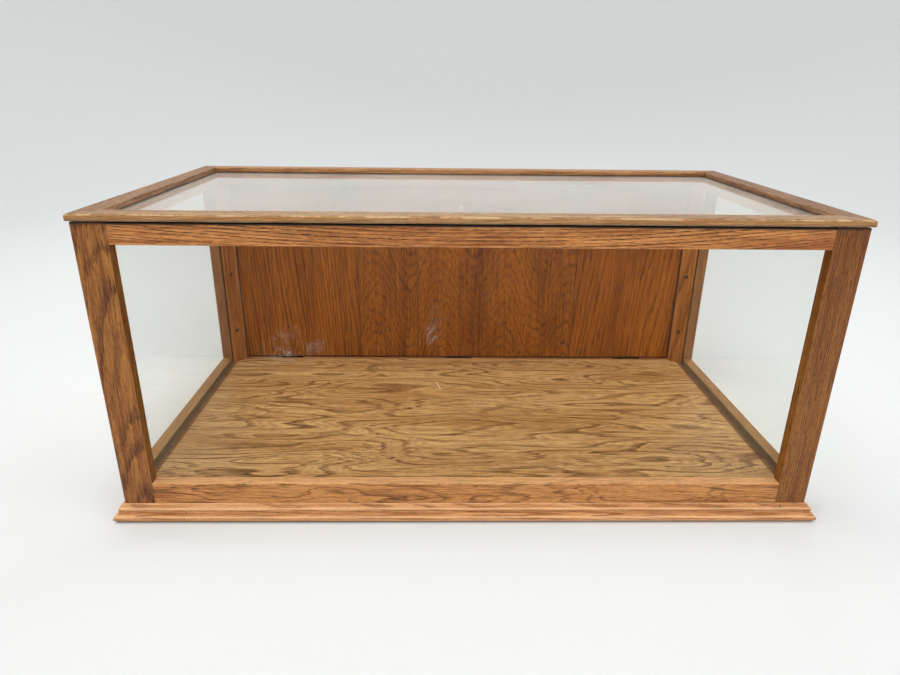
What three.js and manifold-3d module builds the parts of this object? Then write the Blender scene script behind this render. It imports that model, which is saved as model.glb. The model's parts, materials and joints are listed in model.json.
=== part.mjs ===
// Countertop display case in oak and glass, with a rear door that drops down on three butt hinges.
//
// Millimetres, +Z up. The front faces -Y and the long side runs along X. While the pieces are shaped,
// y = 0 is the front face of the posts. The whole group is then shifted along Y, so that the origin
// is the bottom centre of the finished object.

import * as THREE from 'three';
import { mergeVertices } from 'three/addons/utils/BufferGeometryUtils.js';
import Module from 'manifold-3d';

const wasm = await Module();
wasm.setup();

// ---------------------------------------------------------------------------------------------
// Driving dimensions
// ---------------------------------------------------------------------------------------------

// The box that the posts make, and the gap kept between neighbouring pieces.
const CASE_WIDTH = 914.4;
const CASE_DEPTH = 466;
const CASE_HEIGHT = 409;
const GAP = 0.3;

// How far a cutting shape runs past what it cuts, and how finely round shapes are divided.
const CUT_PAST = 1;
const MOULDED_STEPS = 7;
const SCREW_SIDES = 20;
const TURNED_SIDES = 32;

// Posts and rails. The front and side lower rails stand a lip above the floor panel, and the side
// rails are set back a little from the outer faces of the posts.
const POST_FACE = 40;
const FRONT_STOCK = 16;
const SIDE_STOCK = 17.5;
const SIDE_RECESS = 1.2;
const REAR_STOCK = 20;
const RAIL_HEIGHT = 26;
const RAIL_LIP = 10.2;

// Top frame: a thin mitred frame that lies on the top glass and overhangs the rails.
const TOP_THICKNESS = 8.5;
const TOP_WIDTH = 28.5;
const TOP_OVERHANG = 3;
const TOP_SHADOW_GAP = 1.5;
const TOP_OUTER_ROUND = 3.2;
const TOP_LOWER_ROUND = 1.4;
const TOP_INNER_SLOPE = 0.8;

// Glass, and the rebates that hold it.
const TOP_GLASS = 4.8;
const TOP_GLASS_INSET = 8;
const PANE = 3;
const PANE_LAP_AT_TOP = 12.5;
const PANE_LAP_AT_REAR = 14;
const TOP_STOP = 4.2;

// Floor and the bearers that carry it.
const FLOOR_THICKNESS = 12.7;
const FLOOR_TOP = 44.2;
const BEARER = 20;

// The 45 degree cleats in the rear corners, and their countersunk slotted screws.
const CLEAT_LEG = 20;
const CLEAT_OFF_GLASS = 1.5;
const CLEAT_CLEAR_OF_TOP = 2;
const CLEAT_SCREW_HEIGHTS = [106.5, 217, 327.5];
const CLEAT_SCREW_NAMES = ['lower', 'middle', 'upper'];
const SCREW_HEAD_RADIUS = 3.6;
const SCREW_HEAD_DEPTH = 2.4;
const SCREW_HEAD_EDGE = 0.3;
const SCREW_SHANK_RADIUS = 1.8;
const SCREW_LENGTH = 23;
const SCREW_POINT = 5;
const SCREW_SINK = 0.5;
const SCREW_SLOT = 0.9;

// Base moulding, a beaded strip round the front and both sides.
const MOULDING_DEPTH = 13;
const MOULDING_TOP = 24;
const MOULDING_BOTTOM = 1.5;
const LOWER_BEAD_RADIUS = 4.4;
const LOWER_BEAD_HEIGHT = 6.6;
const UPPER_BEAD_RADIUS = 2.5;
const UPPER_BEAD_HEIGHT = 17.4;
const UPPER_BEAD_REACH = 7.4;
const GROOVE_REACH = 6.8;

// Rear door.
const DOOR_THICKNESS = 13;
const DOOR_CLEARANCE = 1.7;
const DOOR_SET_BACK = 1;

// Butt hinges between the sill and the door's bottom edge.
const HINGE_CENTRES = [-332.8, 0, 332.8];
const HINGE_NAMES = ['left', 'middle', 'right'];
const HINGE_LENGTH = 52;
const HINGE_LEAF = 1.4;
const HINGE_LEAF_REACH = 19;
const HINGE_LEAF_SPLIT = 0.4;
const HINGE_AXIS_OUT = 4.2;
const KNUCKLE_RADIUS = 2.9;
const KNUCKLE_COUNT = 5;
const PIN_RADIUS = 1.1;
const PIN_TIP_RADIUS = 2.2;
const PIN_TIP_EDGE = 0.9;
const PIN_TIP_HEIGHT = 2.4;

// Magnetic catches under the rear upper rail, and their strike plates on the door.
const CATCH_OFFSET = 210;
const CATCH_SIZE = [44, 13, 13];
const CATCH_TAB = 1.6;
const CATCH_TAB_HEIGHT = 11;
const STRIKE_SIZE = [32, 1, 14];

// Turned door knob and the machine screw that holds it. The knob's shape is [radius, distance from
// the door] pairs.
const KNOB_SHAPE = [
  [8.5, 0],
  [8.5, 1.5],
  [6.5, 4],
  [6.5, 7],
  [10.4, 9.5],
  [13, 13],
  [13, 15.5],
  [11, 18.5],
  [6.5, 20.5],
];
const KNOB_LENGTH = 21;
const KNOB_DROP = 34;
const KNOB_BORE_DEPTH = 12;
const KNOB_SCREW_RADIUS = 2;
const KNOB_SCREW_HEAD = 4.2;
const KNOB_SCREW_HEAD_HEIGHT = 2.2;
const KNOB_SCREW_HEAD_ROUND = 0.9;

// ---------------------------------------------------------------------------------------------
// Places worked out from them
// ---------------------------------------------------------------------------------------------

const halfWidth = CASE_WIDTH / 2;
const postInner = halfWidth - POST_FACE;
const sideInner = halfWidth - SIDE_STOCK;
const rearInner = CASE_DEPTH - REAR_STOCK;
const paneInner = sideInner - GAP - PANE;
const frontPaneBack = FRONT_STOCK + GAP + PANE;
const topFrameBottom = CASE_HEIGHT - TOP_THICKNESS;
const railTop = topFrameBottom - TOP_SHADOW_GAP;
const railBottom = railTop - RAIL_HEIGHT;
const topSeat = topFrameBottom - TOP_GLASS - 2 * GAP;
const ledgeBottom = railBottom + PANE_LAP_AT_TOP;
const floorBottom = FLOOR_TOP - FLOOR_THICKNESS;
const rearLegInner = paneInner - CLEAT_LEG;
const doorOuter = CASE_DEPTH - DOOR_SET_BACK;
const doorInner = doorOuter - DOOR_THICKNESS;
const doorBottom = FLOOR_TOP + DOOR_CLEARANCE;
const doorTop = railBottom - DOOR_CLEARANCE;
const doorHalfWidth = rearLegInner - DOOR_CLEARANCE;
const hingeAxisY = doorOuter + HINGE_AXIS_OUT;
const hingeAxisZ = FLOOR_TOP + GAP / 3 + HINGE_LEAF + HINGE_LEAF_SPLIT / 2;
const knobZ = doorTop - KNOB_DROP;
const frontMost = -MOULDING_DEPTH;
const rearMost = doorOuter + GAP + KNOB_LENGTH;

// ---------------------------------------------------------------------------------------------
// Finishes
// ---------------------------------------------------------------------------------------------

const finish = (color, roughness, metalness = 0) =>
  new THREE.MeshStandardMaterial({ color, roughness, metalness });

const oak = finish(0xa8713f, 0.45);
const topOak = finish(0x9a7452, 0.5);
const floorOak = finish(0xb58a52, 0.4);
const doorOak = finish(0x95551f, 0.42);
const mouldingOak = finish(0xb08050, 0.45);
const plainOak = finish(0xc19a68, 0.8);
const clearGlass = finish(0xcfe3da, 0.05);
const blackSteel = finish(0x17150f, 0.5, 0.8);
const darkSteel = finish(0x3a342c, 0.45, 0.9);
const zincSteel = finish(0xa9aaa6, 0.35, 0.95);
const brownPlastic = finish(0x4a3322, 0.5);

// ---------------------------------------------------------------------------------------------
// Small tools
// ---------------------------------------------------------------------------------------------

// A solid that manifold-3d can cut and join, from any closed three.js geometry.
function toSolid(geometry) {
  const bare = geometry.clone();
  bare.deleteAttribute('normal');
  bare.deleteAttribute('uv');
  const merged = mergeVertices(bare, 1e-4);
  const mesh = new wasm.Mesh({
    numProp: 3,
    vertProperties: new Float32Array(merged.attributes.position.array),
    triVerts: new Uint32Array(merged.index.array),
  });
  return new wasm.Manifold(mesh);
}

// The three.js geometry of a solid.
function toGeometry(solid) {
  const mesh = solid.getMesh();
  const geometry = new THREE.BufferGeometry();
  geometry.setAttribute('position', new THREE.BufferAttribute(new Float32Array(mesh.vertProperties), 3));
  geometry.setIndex(new THREE.BufferAttribute(new Uint32Array(mesh.triVerts), 1));
  geometry.computeVertexNormals();
  return geometry;
}

// One piece with several others cut away from it.
function cutAway(geometry, cutters) {
  let solid = toSolid(geometry);
  for (const cutter of cutters) {
    solid = solid.subtract(toSolid(cutter));
  }
  return toGeometry(solid);
}

// Several pieces joined into one.
function joined(pieces) {
  let solid = toSolid(pieces[0]);
  for (const piece of pieces.slice(1)) {
    solid = solid.add(toSolid(piece));
  }
  return toGeometry(solid);
}

// The same piece on the other side of the case.
function mirrored(geometry) {
  return toGeometry(toSolid(geometry).mirror([1, 0, 0]));
}

// A box given by its lowest and highest corners.
function boxBetween(low, high) {
  const size = high.map((value, axis) => value - low[axis]);
  const centre = high.map((value, axis) => (value + low[axis]) / 2);
  return new THREE.BoxGeometry(...size).translate(...centre);
}

// A flat outline in X and Y, raised from one height to another.
function uprightPrism(points, bottom, top) {
  const shape = new THREE.Shape(points.map(([x, y]) => new THREE.Vector2(x, y)));
  const geometry = new THREE.ExtrudeGeometry(shape, { depth: top - bottom, bevelEnabled: false });
  return geometry.translate(0, 0, bottom);
}

// A cylinder along X, between two values of x.
function barAlongX(radius, low, high, y, z) {
  const bar = new THREE.CylinderGeometry(radius, radius, high - low, SCREW_SIDES);
  return bar.rotateZ(Math.PI / 2).translate((low + high) / 2, y, z);
}

// A turned piece whose profile is [radius, distance] pairs, with the distance along +Y.
function turnedAlongY(profile, segments) {
  const points = profile.map(([radius, distance]) => new THREE.Vector2(radius, distance));
  return new THREE.LatheGeometry(points, segments);
}

const displayCase = new THREE.Group();
displayCase.name = 'display_case';
displayCase.position.y = -(frontMost + rearMost) / 2;

function addPart(name, geometry, material) {
  const mesh = new THREE.Mesh(geometry, material);
  mesh.name = name;
  displayCase.add(mesh);
}

// A right-hand piece and its mirror image on the left.
function addPair(rightName, leftName, geometry, material) {
  addPart(rightName, geometry, material);
  addPart(leftName, mirrored(geometry), material);
}

// ---------------------------------------------------------------------------------------------
// Posts and rails
// ---------------------------------------------------------------------------------------------

// The rebate for the top glass, cut into the tops of the posts and rails.
function topGlassSeat() {
  const halfSeat = halfWidth - TOP_GLASS_INSET;
  return boxBetween(
    [-halfSeat, TOP_GLASS_INSET, topSeat],
    [halfSeat, CASE_DEPTH - TOP_GLASS_INSET, CASE_HEIGHT],
  );
}

// L-section front post on the right: a broad front leg, and a side leg behind it.
function frontPost() {
  const outline = [
    [postInner, 0],
    [halfWidth, 0],
    [halfWidth, POST_FACE],
    [sideInner, POST_FACE],
    [sideInner, FRONT_STOCK],
    [postInner, FRONT_STOCK],
  ];
  return cutAway(uprightPrism(outline, 0, railTop), [topGlassSeat()]);
}

// L-section rear post on the right: a side leg, and a rear leg that the cleat is screwed to.
function rearPost() {
  const outline = [
    [rearLegInner, rearInner],
    [sideInner, rearInner],
    [sideInner, CASE_DEPTH - POST_FACE],
    [halfWidth, CASE_DEPTH - POST_FACE],
    [halfWidth, CASE_DEPTH],
    [rearLegInner, CASE_DEPTH],
  ];
  const holes = CLEAT_SCREW_HEIGHTS.map((height) => cleatScrewHole(height));
  return cutAway(uprightPrism(outline, 0, railTop), [topGlassSeat(), ...holes]);
}

// Front upper rail: a face board with a ledge behind it, over the pane and its stop.
function frontUpperRail() {
  const end = postInner - GAP;
  const face = boxBetween([-end, 0, railBottom], [end, FRONT_STOCK, railTop]);
  const ledge = boxBetween(
    [-end, FRONT_STOCK - GAP, ledgeBottom],
    [end, frontPaneBack + TOP_STOP + GAP, railTop],
  );
  return cutAway(joined([face, ledge]), [topGlassSeat()]);
}

// Right upper rail, with the same ledge.
function sideUpperRail() {
  const start = POST_FACE + GAP;
  const end = CASE_DEPTH - POST_FACE - GAP;
  const face = boxBetween([sideInner, start, railBottom], [halfWidth - SIDE_RECESS, end, railTop]);
  const ledge = boxBetween(
    [paneInner - TOP_STOP - GAP, start, ledgeBottom],
    [sideInner + GAP, end, railTop],
  );
  return cutAway(joined([face, ledge]), [topGlassSeat()]);
}

function sideLowerRail() {
  const start = POST_FACE + GAP;
  const end = CASE_DEPTH - POST_FACE - GAP;
  return boxBetween([sideInner, start, 0], [halfWidth - SIDE_RECESS, end, FLOOR_TOP + RAIL_LIP]);
}

function rearRail(bottom, top) {
  const end = rearLegInner - GAP;
  return boxBetween([-end, rearInner, bottom], [end, CASE_DEPTH, top]);
}

function addFrame() {
  const frontEnd = postInner - GAP;
  const lipTop = FLOOR_TOP + RAIL_LIP;
  addPair('front_right_post', 'front_left_post', frontPost(), oak);
  addPair('rear_right_post', 'rear_left_post', rearPost(), oak);
  addPart('front_upper_rail', frontUpperRail(), oak);
  addPart('front_lower_rail', boxBetween([-frontEnd, 0, 0], [frontEnd, FRONT_STOCK, lipTop]), oak);
  addPart('rear_upper_rail', cutAway(rearRail(railBottom, railTop), [topGlassSeat()]), oak);
  addPart('rear_sill', rearRail(0, FLOOR_TOP), oak);
  addPair('right_upper_rail', 'left_upper_rail', sideUpperRail(), oak);
  addPair('right_lower_rail', 'left_lower_rail', sideLowerRail(), oak);
}

// ---------------------------------------------------------------------------------------------
// Mitred strips: the top frame and the base moulding
// ---------------------------------------------------------------------------------------------

// The corners of the post box, seen from above.
const corners = {
  frontRight: new THREE.Vector2(halfWidth, 0),
  frontLeft: new THREE.Vector2(-halfWidth, 0),
  rearLeft: new THREE.Vector2(-halfWidth, CASE_DEPTH),
  rearRight: new THREE.Vector2(halfWidth, CASE_DEPTH),
};

// A strip laid from one corner to another, with outwards on the left of the way it runs. The
// section's first coordinate is how far out from the post box it is, and its second one is the
// height. A mitred end is cut at 45 degrees, so each point there moves by its own distance out.
function mitredStrip(section, start, end, mitreStart, mitreEnd) {
  const length = start.distanceTo(end);
  const settings = { depth: length, bevelEnabled: false, curveSegments: MOULDED_STEPS };
  const strip = new THREE.ExtrudeGeometry(section, settings);
  const position = strip.attributes.position;
  for (let index = 0; index < position.count; index += 1) {
    const out = position.getX(index);
    const up = position.getY(index);
    const along = position.getZ(index);
    const isEnd = along > length / 2;
    const startShift = mitreStart ? GAP / 2 - out : 0;
    const endShift = mitreEnd ? out - GAP / 2 : 0;
    position.setXYZ(index, along + (isEnd ? endShift : startShift), out, up);
  }
  const turn = Math.atan2(end.y - start.y, end.x - start.x);
  return strip.rotateZ(turn).translate(start.x, start.y, 0);
}

// Section of the top frame: rounded outside, with a slightly sloping inner edge.
function topFrameSection() {
  const inner = TOP_OVERHANG - TOP_WIDTH;
  const upperX = TOP_OVERHANG - TOP_OUTER_ROUND;
  const upperY = CASE_HEIGHT - TOP_OUTER_ROUND;
  const lowerX = TOP_OVERHANG - TOP_LOWER_ROUND;
  const lowerY = topFrameBottom + TOP_LOWER_ROUND;
  const section = new THREE.Shape();
  section.moveTo(inner, topFrameBottom);
  section.lineTo(lowerX, topFrameBottom);
  section.absarc(lowerX, lowerY, TOP_LOWER_ROUND, -Math.PI / 2, 0, false);
  section.absarc(upperX, upperY, TOP_OUTER_ROUND, 0, Math.PI / 2, false);
  section.lineTo(inner + TOP_INNER_SLOPE, CASE_HEIGHT);
  return section;
}

// Section of the base moulding: a large bead, a groove, a small bead and a sloping shelf.
function mouldingSection() {
  const back = GAP;
  const lowerCentre = MOULDING_DEPTH - LOWER_BEAD_RADIUS;
  const upperCentre = UPPER_BEAD_REACH - UPPER_BEAD_RADIUS;
  const tuckUnder = -Math.PI / 3;
  const section = new THREE.Shape();
  section.moveTo(back, MOULDING_BOTTOM);
  section.lineTo(lowerCentre + LOWER_BEAD_RADIUS * Math.cos(tuckUnder), MOULDING_BOTTOM);
  section.absarc(lowerCentre, LOWER_BEAD_HEIGHT, LOWER_BEAD_RADIUS, tuckUnder, Math.PI / 2, false);
  section.lineTo(GROOVE_REACH, LOWER_BEAD_HEIGHT + LOWER_BEAD_RADIUS + GROOVE_REACH / 8);
  section.absarc(upperCentre, UPPER_BEAD_HEIGHT, UPPER_BEAD_RADIUS, tuckUnder, Math.PI / 2, false);
  section.lineTo(back, MOULDING_TOP);
  return section;
}

function addTopFrame() {
  const section = topFrameSection();
  const { frontRight, frontLeft, rearLeft, rearRight } = corners;
  addPart('top_frame_front', mitredStrip(section, frontRight, frontLeft, true, true), topOak);
  addPart('top_frame_left', mitredStrip(section, frontLeft, rearLeft, true, true), topOak);
  addPart('top_frame_back', mitredStrip(section, rearLeft, rearRight, true, true), topOak);
  addPart('top_frame_right', mitredStrip(section, rearRight, frontRight, true, true), topOak);
}

function addBaseMoulding() {
  const section = mouldingSection();
  const { frontRight, frontLeft, rearLeft, rearRight } = corners;
  addPart('base_moulding_front', mitredStrip(section, frontRight, frontLeft, true, true), mouldingOak);
  addPart('base_moulding_left', mitredStrip(section, frontLeft, rearLeft, true, false), mouldingOak);
  addPart('base_moulding_right', mitredStrip(section, rearRight, frontRight, false, true), mouldingOak);
}

// ---------------------------------------------------------------------------------------------
// Glass and what holds it
// ---------------------------------------------------------------------------------------------

function addGlass() {
  const halfTop = halfWidth - TOP_GLASS_INSET - GAP;
  const topEdge = TOP_GLASS_INSET + GAP;
  const topBottom = topSeat + GAP;
  addPart('top_glass', boxBetween(
    [-halfTop, topEdge, topBottom],
    [halfTop, CASE_DEPTH - topEdge, topBottom + TOP_GLASS],
  ), clearGlass);
  const bottom = floorBottom + GAP;
  const top = ledgeBottom - GAP;
  const frontEnd = sideInner - GAP;
  addPart('front_glass', boxBetween(
    [-frontEnd, FRONT_STOCK + GAP, bottom],
    [frontEnd, frontPaneBack, top],
  ), clearGlass);
  const rearEnd = CASE_DEPTH - POST_FACE + PANE_LAP_AT_REAR;
  const sidePane = boxBetween(
    [paneInner, frontPaneBack + GAP, bottom],
    [paneInner + PANE, rearEnd, top],
  );
  addPair('right_glass', 'left_glass', sidePane, clearGlass);
}

// Thin stops under the ledges of the upper rails, behind the panes.
function addGlassStops() {
  const bottom = railBottom + GAP;
  const top = ledgeBottom - GAP;
  const end = postInner - GAP;
  addPart('front_glass_stop', boxBetween(
    [-end, frontPaneBack + GAP, bottom],
    [end, frontPaneBack + GAP + TOP_STOP, top],
  ), plainOak);
  const sideStop = boxBetween(
    [paneInner - GAP - TOP_STOP, POST_FACE + GAP, bottom],
    [paneInner - GAP, CASE_DEPTH - POST_FACE - GAP, top],
  );
  addPair('right_glass_stop', 'left_glass_stop', sideStop, plainOak);
}

// ---------------------------------------------------------------------------------------------
// Corner cleats and their screws
// ---------------------------------------------------------------------------------------------

// The cleat's sloping face runs between these two corners, and its square corner is outside them.
const cleatSide = paneInner - CLEAT_OFF_GLASS;
const cleatRear = rearInner - GAP;
const cleatMiddle = [cleatSide - CLEAT_LEG / 2, cleatRear - CLEAT_LEG / 2];

// Moves a piece that is shaped along +Y, from its origin, so that it enters the right-hand cleat
// square to the sloping face.
function placeInCleat(geometry, height, depth) {
  const step = depth / Math.SQRT2;
  return geometry
    .rotateZ(-Math.PI / 4)
    .translate(cleatMiddle[0] + step, cleatMiddle[1] + step, height);
}

// The countersunk hole that one cleat screw needs, through the cleat and into the post.
function cleatScrewHole(height) {
  const end = SCREW_LENGTH + SCREW_SINK + CUT_PAST;
  const profile = [
    [0, -CUT_PAST],
    [SCREW_HEAD_RADIUS + GAP, -CUT_PAST],
    [SCREW_HEAD_RADIUS + GAP, SCREW_SINK],
    [SCREW_SHANK_RADIUS + GAP, SCREW_SINK + SCREW_HEAD_DEPTH],
    [SCREW_SHANK_RADIUS + GAP, end],
    [0, end],
  ];
  return placeInCleat(turnedAlongY(profile, SCREW_SIDES), height, 0);
}

// The right-hand cleat. It runs down past the floor panel, whose corner is cut off to clear it, and
// stands on the bearers.
function cleat() {
  const outline = [
    [cleatSide - CLEAT_LEG, cleatRear],
    [cleatSide, cleatRear - CLEAT_LEG],
    [cleatSide, cleatRear],
  ];
  const body = uprightPrism(outline, floorBottom, topSeat - CLEAT_CLEAR_OF_TOP);
  return cutAway(body, CLEAT_SCREW_HEIGHTS.map((height) => cleatScrewHole(height)));
}

// A flat-headed wood screw with one slot, pointing along +Y from the top of its head.
function cleatScrew() {
  const profile = [
    [0, 0],
    [SCREW_HEAD_RADIUS, 0],
    [SCREW_HEAD_RADIUS, SCREW_HEAD_EDGE],
    [SCREW_SHANK_RADIUS, SCREW_HEAD_DEPTH],
    [SCREW_SHANK_RADIUS, SCREW_LENGTH - SCREW_POINT],
    [0, SCREW_LENGTH],
  ];
  const slot = new THREE.BoxGeometry(SCREW_HEAD_RADIUS * 3, SCREW_SLOT * 2, SCREW_SLOT);
  return cutAway(turnedAlongY(profile, SCREW_SIDES), [slot]);
}

// Both cleats, and their three screws each.
function addCleats() {
  addPair('rear_right_corner_cleat', 'rear_left_corner_cleat', cleat(), oak);
  CLEAT_SCREW_HEIGHTS.forEach((height, index) => {
    const screw = placeInCleat(cleatScrew(), height, SCREW_SINK);
    const name = CLEAT_SCREW_NAMES[index];
    addPair(`cleat_screw_right_${name}`, `cleat_screw_left_${name}`, screw, darkSteel);
  });
}

// ---------------------------------------------------------------------------------------------
// Floor
// ---------------------------------------------------------------------------------------------

// Floor panel, with its rear corners cut off at 45 degrees round the cleats.
function floorPanel() {
  const frontEdge = frontPaneBack + GAP;
  const sideEdge = paneInner - GAP;
  const rearEdge = rearInner - GAP;
  const clear = GAP * Math.SQRT2;
  const cutAtRear = cleatSide - CLEAT_LEG - clear - (rearEdge - cleatRear);
  const cutAtSide = cleatRear - CLEAT_LEG - clear - (sideEdge - cleatSide);
  const outline = [
    [-sideEdge, frontEdge],
    [sideEdge, frontEdge],
    [sideEdge, cutAtSide],
    [cutAtRear, rearEdge],
    [-cutAtRear, rearEdge],
    [-sideEdge, cutAtSide],
  ];
  return uprightPrism(outline, floorBottom, FLOOR_TOP);
}

// The floor panel, and the four bearers that carry it.
function addFloor() {
  addPart('floor_panel', floorPanel(), floorOak);
  const low = floorBottom - BEARER;
  const high = floorBottom - GAP / 3;
  const end = sideInner - GAP;
  const front = FRONT_STOCK + GAP;
  const rear = rearInner - GAP;
  addPart('floor_bearer_front', boxBetween([-end, front, low], [end, front + BEARER, high]), plainOak);
  addPart('floor_bearer_back', boxBetween([-end, rear - BEARER, low], [end, rear, high]), plainOak);
  const sideBearer = boxBetween(
    [end - BEARER, front + BEARER + GAP, low],
    [end, rear - BEARER - GAP, high],
  );
  addPair('floor_bearer_right', 'floor_bearer_left', sideBearer, plainOak);
}

// ---------------------------------------------------------------------------------------------
// Rear door and its hardware
// ---------------------------------------------------------------------------------------------

// Door panel, with a mortise for each hinge leaf and a hole for the knob's screw.
function addDoor() {
  const panel = boxBetween(
    [-doorHalfWidth, doorInner, doorBottom],
    [doorHalfWidth, doorOuter, doorTop],
  );
  const mortiseTop = hingeAxisZ + HINGE_LEAF_SPLIT / 2 + HINGE_LEAF + GAP / 3;
  const mortiseHalf = HINGE_LENGTH / 2 + GAP;
  const mortises = HINGE_CENTRES.map((centre) => boxBetween(
    [centre - mortiseHalf, hingeAxisY - HINGE_LEAF_REACH - GAP, doorBottom - CUT_PAST],
    [centre + mortiseHalf, doorOuter + CUT_PAST, mortiseTop],
  ));
  const hole = new THREE.CylinderGeometry(
    KNOB_SCREW_RADIUS + GAP,
    KNOB_SCREW_RADIUS + GAP,
    DOOR_THICKNESS + 2 * CUT_PAST,
    SCREW_SIDES,
  ).translate(0, (doorInner + doorOuter) / 2, knobZ);
  addPart('rear_door', cutAway(panel, [...mortises, hole]), doorOak);
}

// One hinge leaf about the middle of its own barrel: a plate, and every second knuckle. The plate
// lies under the barrel's axis on the sill, and over it in the door.
function hingeLeaf(isDoorLeaf) {
  const half = HINGE_LENGTH / 2;
  const knuckle = HINGE_LENGTH / KNUCKLE_COUNT;
  const near = HINGE_LEAF_SPLIT / 2;
  const plateLow = isDoorLeaf ? near : -near - HINGE_LEAF;
  const plate = boxBetween([-half, -HINGE_LEAF_REACH, plateLow], [half, 0, plateLow + HINGE_LEAF]);
  const ownKnuckles = [];
  const notches = [];
  for (let index = 0; index < KNUCKLE_COUNT; index += 1) {
    const low = -half + index * knuckle;
    const isOwn = (index % 2 === 1) === isDoorLeaf;
    if (isOwn) {
      const from = index === 0 ? low : low + GAP / 2;
      const to = index === KNUCKLE_COUNT - 1 ? low + knuckle : low + knuckle - GAP / 2;
      ownKnuckles.push(barAlongX(KNUCKLE_RADIUS, from, to, 0, 0));
    } else {
      const clear = KNUCKLE_RADIUS + 2 * GAP;
      notches.push(boxBetween(
        [low - GAP / 2, -clear, -clear],
        [low + knuckle + GAP / 2, clear, clear],
      ));
    }
  }
  const bore = barAlongX(PIN_RADIUS + GAP, -half - CUT_PAST, half + CUT_PAST, 0, 0);
  const notched = cutAway(plate, notches);
  return cutAway(joined([notched, ...ownKnuckles]), [bore]);
}

// The pin through a barrel, with a rounded tip at each end.
function hingePin() {
  const half = HINGE_LENGTH / 2 + GAP;
  const tip = [
    [PIN_TIP_RADIUS, 0],
    [PIN_TIP_RADIUS, PIN_TIP_EDGE],
    [PIN_TIP_RADIUS * 0.75, (PIN_TIP_EDGE + PIN_TIP_HEIGHT) / 2],
    [0, PIN_TIP_HEIGHT],
  ];
  const upper = tip.map(([radius, distance]) => [radius, half + distance]);
  const lower = tip.map(([radius, distance]) => [radius, -half - distance]).reverse();
  const profile = [...lower, [PIN_RADIUS, -half], [PIN_RADIUS, half], ...upper];
  return turnedAlongY(profile, SCREW_SIDES).rotateZ(-Math.PI / 2);
}

function addHinges() {
  HINGE_CENTRES.forEach((centre, index) => {
    const name = `hinge_${HINGE_NAMES[index]}`;
    const place = (geometry) => geometry.translate(centre, hingeAxisY, hingeAxisZ);
    addPart(`${name}_frame_leaf`, place(hingeLeaf(false)), blackSteel);
    addPart(`${name}_door_leaf`, place(hingeLeaf(true)), blackSteel);
    addPart(`${name}_pin`, place(hingePin()), blackSteel);
  });
}

// A magnetic catch on the right: its housing, and the tab that it is screwed on by.
function catchBody() {
  const [width, depth, height] = CATCH_SIZE;
  const back = doorInner - STRIKE_SIZE[1] - 2 * GAP;
  const top = railBottom - GAP;
  const housing = boxBetween(
    [CATCH_OFFSET - width / 2, back - depth, top - height],
    [CATCH_OFFSET + width / 2, back, top],
  );
  const tab = boxBetween(
    [CATCH_OFFSET - width / 2, rearInner - GAP - CATCH_TAB, top - height / 2],
    [CATCH_OFFSET + width / 2, rearInner - GAP, top + CATCH_TAB_HEIGHT],
  );
  return joined([housing, tab]);
}

function strikePlate() {
  const [width, thickness, height] = STRIKE_SIZE;
  const face = doorInner - GAP / 3;
  return boxBetween(
    [CATCH_OFFSET - width / 2, face - thickness, doorTop - GAP - height],
    [CATCH_OFFSET + width / 2, face, doorTop - GAP],
  );
}

function addCatches() {
  addPair('catch_right', 'catch_left', catchBody(), brownPlastic);
  addPair('strike_plate_right', 'strike_plate_left', strikePlate(), zincSteel);
}

// Turned knob with a blind bore, pointing along +Y from the door's outer face.
function knob() {
  const bore = KNOB_SCREW_RADIUS + GAP;
  const profile = [
    [0, KNOB_BORE_DEPTH],
    [bore, KNOB_BORE_DEPTH],
    [bore, 0],
    ...KNOB_SHAPE,
    [0, KNOB_LENGTH],
  ];
  return turnedAlongY(profile, TURNED_SIDES).translate(0, doorOuter + GAP, knobZ);
}

// Pan-headed machine screw through the door, with its head on the inner face.
function knobScrew() {
  const face = doorInner - GAP;
  const headTop = face - KNOB_SCREW_HEAD_HEIGHT;
  const tip = doorOuter + KNOB_BORE_DEPTH - GAP;
  const profile = [
    [0, headTop],
    [KNOB_SCREW_HEAD - KNOB_SCREW_HEAD_ROUND, headTop],
    [KNOB_SCREW_HEAD, headTop + KNOB_SCREW_HEAD_ROUND],
    [KNOB_SCREW_HEAD, face],
    [KNOB_SCREW_RADIUS, face],
    [KNOB_SCREW_RADIUS, tip],
    [0, tip],
  ];
  return turnedAlongY(profile, SCREW_SIDES).translate(0, 0, knobZ);
}

function addKnob() {
  addPart('door_knob', knob(), oak);
  addPart('door_knob_screw', knobScrew(), zincSteel);
}

addFrame();
addTopFrame();
addGlass();
addGlassStops();
addCleats();
addFloor();
addBaseMoulding();
addDoor();
addHinges();
addCatches();
addKnob();

export default displayCase;
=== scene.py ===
"""Looks of the oak and glass display case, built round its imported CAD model. Metres, +Z up."""

import json
import math

import bmesh
import bpy
from mathutils import Matrix, Vector


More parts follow.
